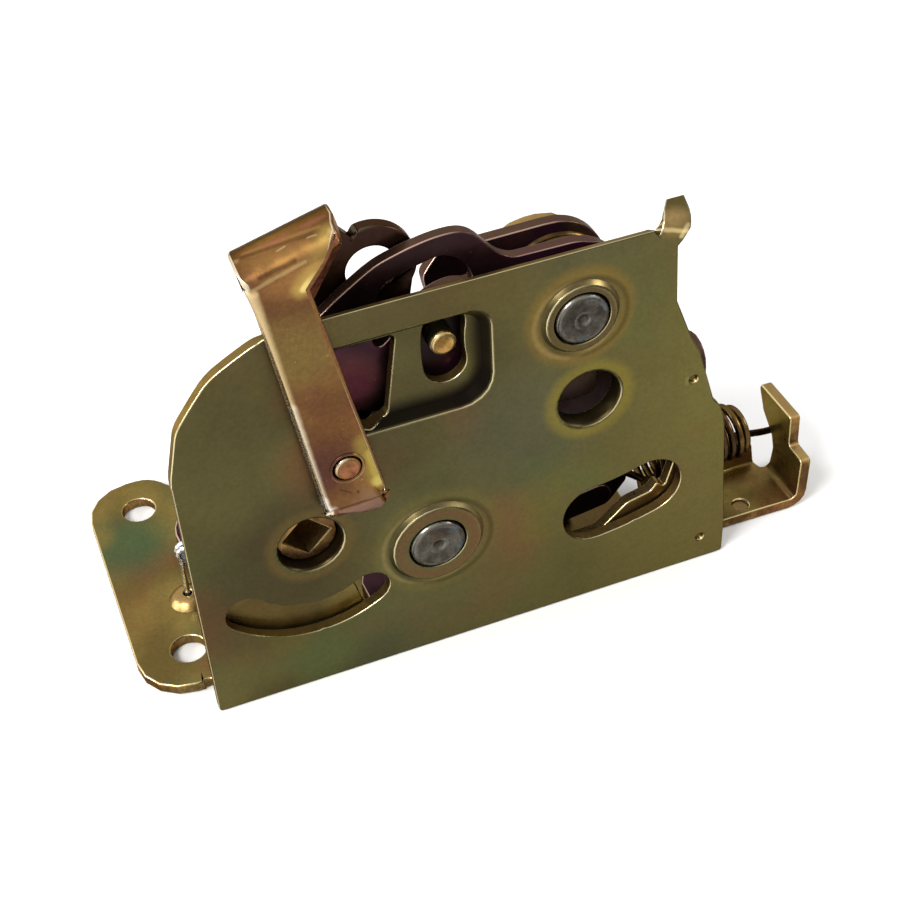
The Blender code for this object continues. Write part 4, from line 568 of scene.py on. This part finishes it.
# painted shade on the cut edges seen through the slot
slotShade = [(onPlate(82, 17, 3.6), 9.0, 15.0, colour(50, 32, 28), 0.92)]   # cut edges seen through the slot
finishes = {
    "plate": zincFinish("plateZinc", plateLook),
    "plateCut": zincFinish("plateCutEdge", cutLook(plateLook, colour(58, 44, 28), colour(104, 84, 48),
                                                   colour(150, 124, 70), (1.0, 0.25, 1.0))),
    "plateWorn": zincFinish("plateWornRim", wornHighlitLook(plateLook, colour(66, 58, 36), colour(214, 200, 156))),
    "base": zincFinish("baseZinc", baseLook),
    "baseCut": zincFinish("baseCutEdge", cutLook(baseLook, colour(92, 66, 40), colour(150, 116, 68),
                                                 colour(176, 146, 92), (1.0, 1.0, 0.3), slotShade)),
    "baseWorn": zincFinish("baseWornRim", wornHighlitLook(baseLook, colour(120, 94, 56), colour(226, 204, 150))),
    "lever": zincFinish("leverZinc", leverLook),
    "leverCut": zincFinish("leverCutEdge", dict(
        cutLook(leverLook, colour(120, 66, 48), colour(168, 112, 80), colour(190, 140, 96), (1.0, 1.0, 1.0)),
        bump=0.1, specks=0.2)),
    "leverWorn": zincFinish("leverWornRim", wornHighlitLook(leverLook, colour(120, 84, 52), colour(238, 222, 192))),
    "inner": zincFinish("innerZinc", innerLook),
    "innerCut": zincFinish("innerCutEdge", cutLook(innerLook, colour(34, 22, 22), colour(76, 52, 44),
                                                   colour(92, 68, 54), (1.0, 0.25, 1.0))),
    "innerWorn": zincFinish("innerWornRim", wornHighlitLook(innerLook, colour(64, 42, 40), colour(206, 170, 150))),
    "pin": zincFinish("pinSteel", pinLook),
    "pinCut": zincFinish("pinSide", cutLook(pinLook, colour(54, 50, 44), colour(92, 88, 80),
                                            colour(130, 126, 116), (1.0, 1.0, 1.0))),
    "pinWorn": zincFinish("pinWornRim", wornHighlitLook(pinLook, colour(60, 56, 50), colour(128, 124, 114))),
    "drive": zincFinish("drivePinZinc", driveLook),
    "driveCut": zincFinish("drivePinSide", cutLook(driveLook, colour(120, 88, 44), colour(190, 150, 84),
                                                   colour(220, 184, 110), (1.0, 1.0, 1.0))),
    "driveWorn": zincFinish("drivePinRim", wornHighlitLook(driveLook, colour(120, 96, 56), colour(226, 204, 150))),
    "spring": zincFinish("springZinc", springLook),
    "wire": zincFinish("springWire", wireLook),
}
print("finishes made")


# Sheet pieces: the solids with rounded rims, worn and with painted highlights, and sheared edges

sheetPieces = {
    # node: body, finish, slot, rim radius in mm
    "main_plate": ("root", "plate", "plate_zinc", 0.22),
    "base_frame": ("root", "base", "base_zinc", 0.26),
    "rear_plate": ("root", "base", "base_zinc", 0.25),
    "outer_lever": ("outer_lever", "lever", "lever_zinc", 0.5),
    "locking_lever": ("locking_lever", "inner", "inner_zinc", 0.22),
    "inside_lever": ("inside_lever", "inner", "inner_zinc", 0.25),
    "release_link": ("release_link", "inner", "inner_zinc", 0.2),
    "locking_follower": ("locking_follower", "base", "base_zinc", 0.2),
    "claw": ("claw", "inner", "inner_zinc", 0.3),
    "pawl": ("pawl", "inner", "inner_zinc", 0.25),
    "upper_pivot_pin": ("root", "pin", "pin_steel", 0.45),
    "lower_pivot_pin": ("root", "pin", "pin_steel", 0.45),
    "drive_pin": ("locking_lever", "drive", "lever_zinc", 0.25),
    "outer_lever_stud": ("outer_lever", "lever", "lever_zinc", 0.18),
}
cleanUp = {
    "merge": 0.002 * mm, "flat": math.radians(0.8), "sharp": math.radians(33.0),
    "curved": ("main_plate", "locking_lever", "inside_lever", "outer_lever"),
    # a step is curved up to this length, between these bends; a neighbour this many times longer is straight
    "longest": 6.5 * mm, "least": math.radians(2.0), "corner": math.radians(38.0), "straight": 2.5,
    "hold": 1000.0,
    # shares along Y of the normals of a flat face, of a cut edge and of a finished face
    "flatFace": 0.99, "cutEdge": 0.2, "finished": 0.6,
}


def mergedCopy(node):
    # Copy of a node's mesh with its loose triangles merged and its flat faces made whole
    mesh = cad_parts[node].data.copy()
    mesh.name = node + "_surface"
    if "custom_normal" in mesh.attributes:
        mesh.attributes.remove(mesh.attributes["custom_normal"])
    bm = bmesh.new()
    bm.from_mesh(mesh)
    bmesh.ops.remove_doubles(bm, verts=bm.verts, dist=cleanUp["merge"])
    bmesh.ops.dissolve_limit(bm, angle_limit=cleanUp["flat"], verts=bm.verts, edges=bm.edges)
    if node in cleanUp["curved"]:
        smoothArcs(bm)
    bmesh.ops.triangulate(bm, faces=[f for f in bm.faces if len(f.verts) > 4])
    return mesh, bm


def curvedStep(edge, cap):
    # A short step of a flat face's rounded outline: its ends and the curve's direction at each, or nothing.
    # The direction is halfway to the neighbouring step's, or the neighbour's own where that is long
    # and straight
    ends = edge.verts
    run = ends[1].co - ends[0].co
    if run.length > cleanUp["longest"]:
        return None
    bends = []
    directions = []
    for end, sign in ((ends[0], -1.0), (ends[1], 1.0)):
        near = [e for e in end.link_edges if e is not edge and cap in e.link_faces]
        other = near[0].other_vert(end).co - end.co if len(near) == 1 else run * sign
        other *= sign
        bend = run.angle(other, 0.0)
        bends.append(bend)
        straight = other.length > cleanUp["straight"] * run.length
        middle = run.normalized() + other.normalized() * (cleanUp["hold"] if straight else 1.0)
        directions.append((middle if bend < cleanUp["corner"] else run).normalized() * run.length)
    if max(bends) < cleanUp["least"] or min(bends) > cleanUp["corner"]:
        return None
    return ends[0].co.copy(), ends[1].co.copy(), directions[0], directions[1]


def smoothArcs(bm):
    # Curves the outlines of the flat faces: two more points on each short step, on the cubic that leaves and
    # reaches the step's ends in their directions, and an edge across the sheet from each to its twin
    rims = {}
    for face in bm.faces:
        if abs(face.normal.y) > cleanUp["flatFace"]:
            for edge in face.edges:
                across = [f for f in edge.link_faces if abs(f.normal.y) < cleanUp["cutEdge"]]
                step = curvedStep(edge, face) if len(across) == 1 else None
                if step:
                    rims[edge] = step
    twins = {}
    for edge, (start, end, leave, reach) in rims.items():
        first = edge.verts[0]
        for share, t in ((1.0 / 3.0, 1.0 / 3.0),
        (0.5, 2.0 / 3.0)):   # share of what is left, share of the step
            first = bmesh.utils.edge_split(edge, first, share)[1]
            straightPlace = start.lerp(end, t)
            curve = ((2 * t ** 3 - 3 * t ** 2 + 1) * start + (t ** 3 - 2 * t ** 2 + t) * leave
                     + (3 * t ** 2 - 2 * t ** 3) * end + (t ** 3 - t ** 2) * reach)
            first.co = straightPlace
            column = (round(straightPlace.x, 6), round(straightPlace.z, 6))
            twins.setdefault(column, []).append((first, curve))
            edge = next(e for e in first.link_edges if (e.other_vert(first).co - end).length < 1e-7)
    for pair in twins.values():
        if len(pair) == 2:
            for place, curve in pair:
                place.co = curve
            bmesh.ops.connect_verts(bm, verts=[pair[0][0], pair[1][0]])


def smoothRegions(bm):
    # Groups of faces joined by edges that aren't sharp, largest first
    free = set(bm.faces)
    groups = []
    while free:
        group = {free.pop()}
        fresh = list(group)
        while fresh:
            face = fresh.pop()
            for edge in face.edges:
                if len(edge.link_faces) == 2 and edge.calc_face_angle() < cleanUp["sharp"]:
                    fresh += [f for f in edge.link_faces if f in free]
                    group.update(edge.link_faces)
                    free.difference_update(edge.link_faces)
        groups.append(group)
    return sorted(groups, key=lambda g: -sum(f.calc_area() for f in g))


def roundRims(item, bm, radius, rimWeight=None):
    # Bevel on the sharp edges, weighted where a rim is rounder than the rest
    weights = bm.edges.layers.float.get("bevel_weight_edge") or bm.edges.layers.float.new("bevel_weight_edge")
    for edge in bm.edges:
        sharp = len(edge.link_faces) == 2 and edge.is_convex and edge.calc_face_angle() > cleanUp["sharp"]
        middle = (edge.verts[0].co + edge.verts[1].co) / 2.0
        edge[weights] = (rimWeight(middle) if rimWeight else 0.5) if sharp else 0.0
    bm.to_mesh(item.data)
    bm.free()
    item.data.shade_smooth()
    item.data.set_sharp_from_angle(angle=cleanUp["sharp"])
    bevel = item.modifiers.new("worn rims", "BEVEL")
    bevel.limit_method = "WEIGHT"
    bevel.width = radius * 2.0 * mm
    bevel.segments = 3
    bevel.use_clamp_overlap = False
    bevel.loop_slide = False
    bevel.harden_normals = True
    # the bevel's faces take the third finish: the worn rim with its painted highlight
    bevel.material = 2


armRim = {
    # heights in metres, the left edge's place in mm at the height it leans from, and how far it leans
    "depth": 0.5 * mm, "top": 0.0895, "left": 18.2, "leansFrom": 0.089, "lean": 0.131, "tip": 0.046,
    "round": 1.0, "rest": 0.45,
}


def leverRim(middle):
    # The arm's left edge and its tip are the roundest
    front = middle.y < plateFront + armRim["depth"]
    left = onPlate(armRim["left"], 0).x + (armRim["leansFrom"] - middle.z) * armRim["lean"]
    leftEdge = front and middle.z < armRim["top"] and middle.x < left
    return armRim["round"] if leftEdge or (front and middle.z < armRim["tip"]) else armRim["rest"]


def dressSheet(node, body, finish, slot, radius, rimWeight=None):
    # The two largest faces, and the side plate's pressed ones, carry the finish, and the rest its cut edge
    mesh, bm = mergedCopy(node)
    mesh.materials.clear()
    for key in (finish, finish + "Cut", finish + "Worn"):
        mesh.materials.append(finishes[key])
    groups = smoothRegions(bm)
    for rank, group in enumerate(groups):
        flatFace = any(abs(f.normal.y) > cleanUp["finished"] for f in group) and node == "main_plate"
        for face in group:
            face.material_index = 0 if rank < 2 or flatFace else 1
    item = addObject(node + "_surface", mesh)
    roundRims(item, bm, radius, rimWeight)
    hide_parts(node)
    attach(item, body)
    print(node, "dressed")


# Wires: fine tubes along the same lines as the solids' springs

wireSides = 14
mainSpring = {
    # mm on the side plate and degrees; the places are along, behind and up
    "radius": 0.7, "coilRadius": 4.9, "turns": 11, "firstAngle": -90.0, "from": 89.0, "to": 108.2,
    "back": 13.5, "up": 16.8, "endRadius": 4.2, "endAngle": -60.0, "endGap": 0.3, "endTravel": 1.3,
    "hook": [(83.1, 16.4, 17.1), (83.2, 15.8, 17.7), (83.2, 11.1, 17.7), (84.4, 10.7, 17.1),
             (87.6, 10.9, 14.2),
             (88.6, 12.3, 12.5)],
    "pull": [(117.8, 17.2, 9.9), (121.4, 17.4, 9.8), (122.0, 16.7, 9.7), (122.0, 12.8, 9.5)],
}
leverSpring = {
    # mm and degrees; each leg is given from the end of the coil that it leaves
    "radius": 0.7, "coilRadius": 8.9, "turns": 1.82, "firstAngle": 200.0, "front": 8.1, "pitch": 1.48,
    "across": 69.9, "up": 65.5,
    "firstLeg": [(-3.4, 0.0, 8.0), (-1.0, 0.0, 2.8)], "lastLeg": [(-2.8, 0.0, -2.8), (-8.0, 0.0, -7.6)],
}


def helix(radius, turns, start, perTurn=40):
    # Across and up along a coil that begins at an angle in degrees, with the share of its travel
    angle = math.radians(start) + 2.0 * math.pi * np.linspace(0.0, turns, int(turns * perTurn) + 1)
    return radius * np.cos(angle), radius * np.sin(angle), np.linspace(0.0, 1.0, angle.size)


def eased(points):
    # Corners of a line of points cut twice at a quarter and three quarters of each step, its ends kept
    line = np.array(points, float)
    for _ in range(2):
        near = 0.75 * line[:-1] + 0.25 * line[1:]
        far = 0.25 * line[:-1] + 0.75 * line[1:]
        line = np.vstack([line[:1], np.stack([near, far], 1).reshape(-1, 3), line[-1:]])
    return line


def tubeAlong(name, line, radius, sides):
    # Circle carried along the line: each place plus the radius times the cosine of the turn across and its
    # sine up, where across loses at each step only its part along the new direction
    step = np.gradient(line, axis=0)
    step /= np.linalg.norm(step, axis=1)[:, None]
    side = np.cross(step[0], (0.3, 0.5, 0.8))
    carried = [side / np.linalg.norm(side)]
    for direction in step[1:]:
        side = carried[-1] - direction * (carried[-1] @ direction)
        carried.append(side / np.linalg.norm(side))
    across = np.array(carried)
    up = np.cross(step, across)
    turn = np.linspace(0.0, 2.0 * math.pi, sides, endpoint=False)
    ring = np.cos(turn)[None, :, None] * across[:, None] + np.sin(turn)[None, :, None] * up[:, None]
    places = (line[:, None] + radius * ring).reshape(-1, 3)
    at = np.arange(len(line) * sides).reshape(len(line), sides)
    a, b = at[:-1], at[1:]
    quads = np.stack([a, np.roll(a, -1, 1), np.roll(b, -1, 1), b], -1).reshape(-1, 4)
    return addSurface(name, places, quads.tolist() + [at[0, ::-1].tolist(), at[-1].tolist()])


def makeMainSpring():
    # Hook, coil, one narrower turn and pulled end in one line: the coil's place along grows with its share
    size = mainSpring
    across, up, share = helix(size["coilRadius"], size["turns"], size["firstAngle"])
    along = size["from"] + (size["to"] - size["from"]) * share
    coil = np.stack([along, size["back"] + across, size["up"] + up], 1)
    across, up, share = helix(size["endRadius"], 1.0, size["endAngle"])
    along = size["to"] + size["endGap"] + size["endTravel"] * share
    end = np.stack([along, size["back"] + across, size["up"] + up], 1)
    line = eased(np.vstack([size["hook"], coil, end, size["pull"]]))
    spring = tubeAlong("main_spring_wire", line, size["radius"], wireSides)
    spring.data.materials.append(finishes["spring"])
    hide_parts("main_spring")
    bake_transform(spring)
    print("main spring made")


def makeLeverSpring():
    # Coil round the upper pin with a leg at each end: its place behind the plate grows by the pitch each turn
    size = leverSpring
    across, up, share = helix(size["coilRadius"], size["turns"], size["firstAngle"])
    behind = size["front"] + size["pitch"] * size["turns"] * share
    coil = np.stack([size["across"] + across, behind, size["up"] + up], 1)
    line = np.vstack([coil[0] + np.array(size["firstLeg"]), coil, coil[-1] + np.array(size["lastLeg"])])
    spring = tubeAlong("lever_spring_wire", eased(line), size["radius"], wireSides)
    spring.data.materials.append(finishes["spring"])
    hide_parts("lever_spring")
    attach(spring, "root")
    print("lever spring made")


studBead = {
    "across": 27.5, "up": 51.24, "back": -3.62, "ring": 2.72, "thick": 0.24, "around": 48, "sides": 10,
}


def makeStudBead():
    # Thin ring pressed up round the stud's end: a small circle carried round a larger one
    size = studBead
    around, side = np.meshgrid(np.linspace(0.0, 2.0 * math.pi, size["around"], endpoint=False),
                               np.linspace(0.0, 2.0 * math.pi, size["sides"], endpoint=False), indexing="ij")
    reach = size["ring"] + size["thick"] * np.cos(side)
    places = np.stack([size["across"] + reach * np.cos(around), size["back"] - size["thick"] * np.sin(side),
                       size["up"] + reach * np.sin(around)], -1).reshape(-1, 3)
    at = np.arange(places.shape[0]).reshape(around.shape)
    turned = np.roll(at, -1, 0)
    quads = np.stack([at, turned, np.roll(turned, -1, 1), np.roll(at, -1, 1)], -1).reshape(-1, 4)
    bead = addSurface("stud_bead", places, quads.tolist())
    bead.data.materials.append(finishes["lever"])
    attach(bead, "outer_lever")
    print("stud bead made")


# Nodes that keep their own meshes and take a finish only

plainNodes = {
    "rear_rivet_left": "pin", "rear_rivet_right": "pin",
    "upper_bush": "pin", "upper_washer": "pin", "lower_bush": "pin", "claw_pin": "pin", "pawl_pin": "pin",
    "follower_spring": "wire", "claw_spring": "wire", "pawl_spring": "wire",
}


def paintNode(node, finish):
    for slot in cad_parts[node].material_slots:
        slot.material = finishes[finish]


makeCamera()
makeLamps()
makeWorld()
makeFloor()
for node, values in sheetPieces.items():
    dressSheet(node, *values, leverRim if node == "outer_lever" else None)
for node, finish in plainNodes.items():
    paintNode(node, finish)
makeMainSpring()
makeLeverSpring()
makeStudBead()

scene.view_settings.view_transform = "Standard"
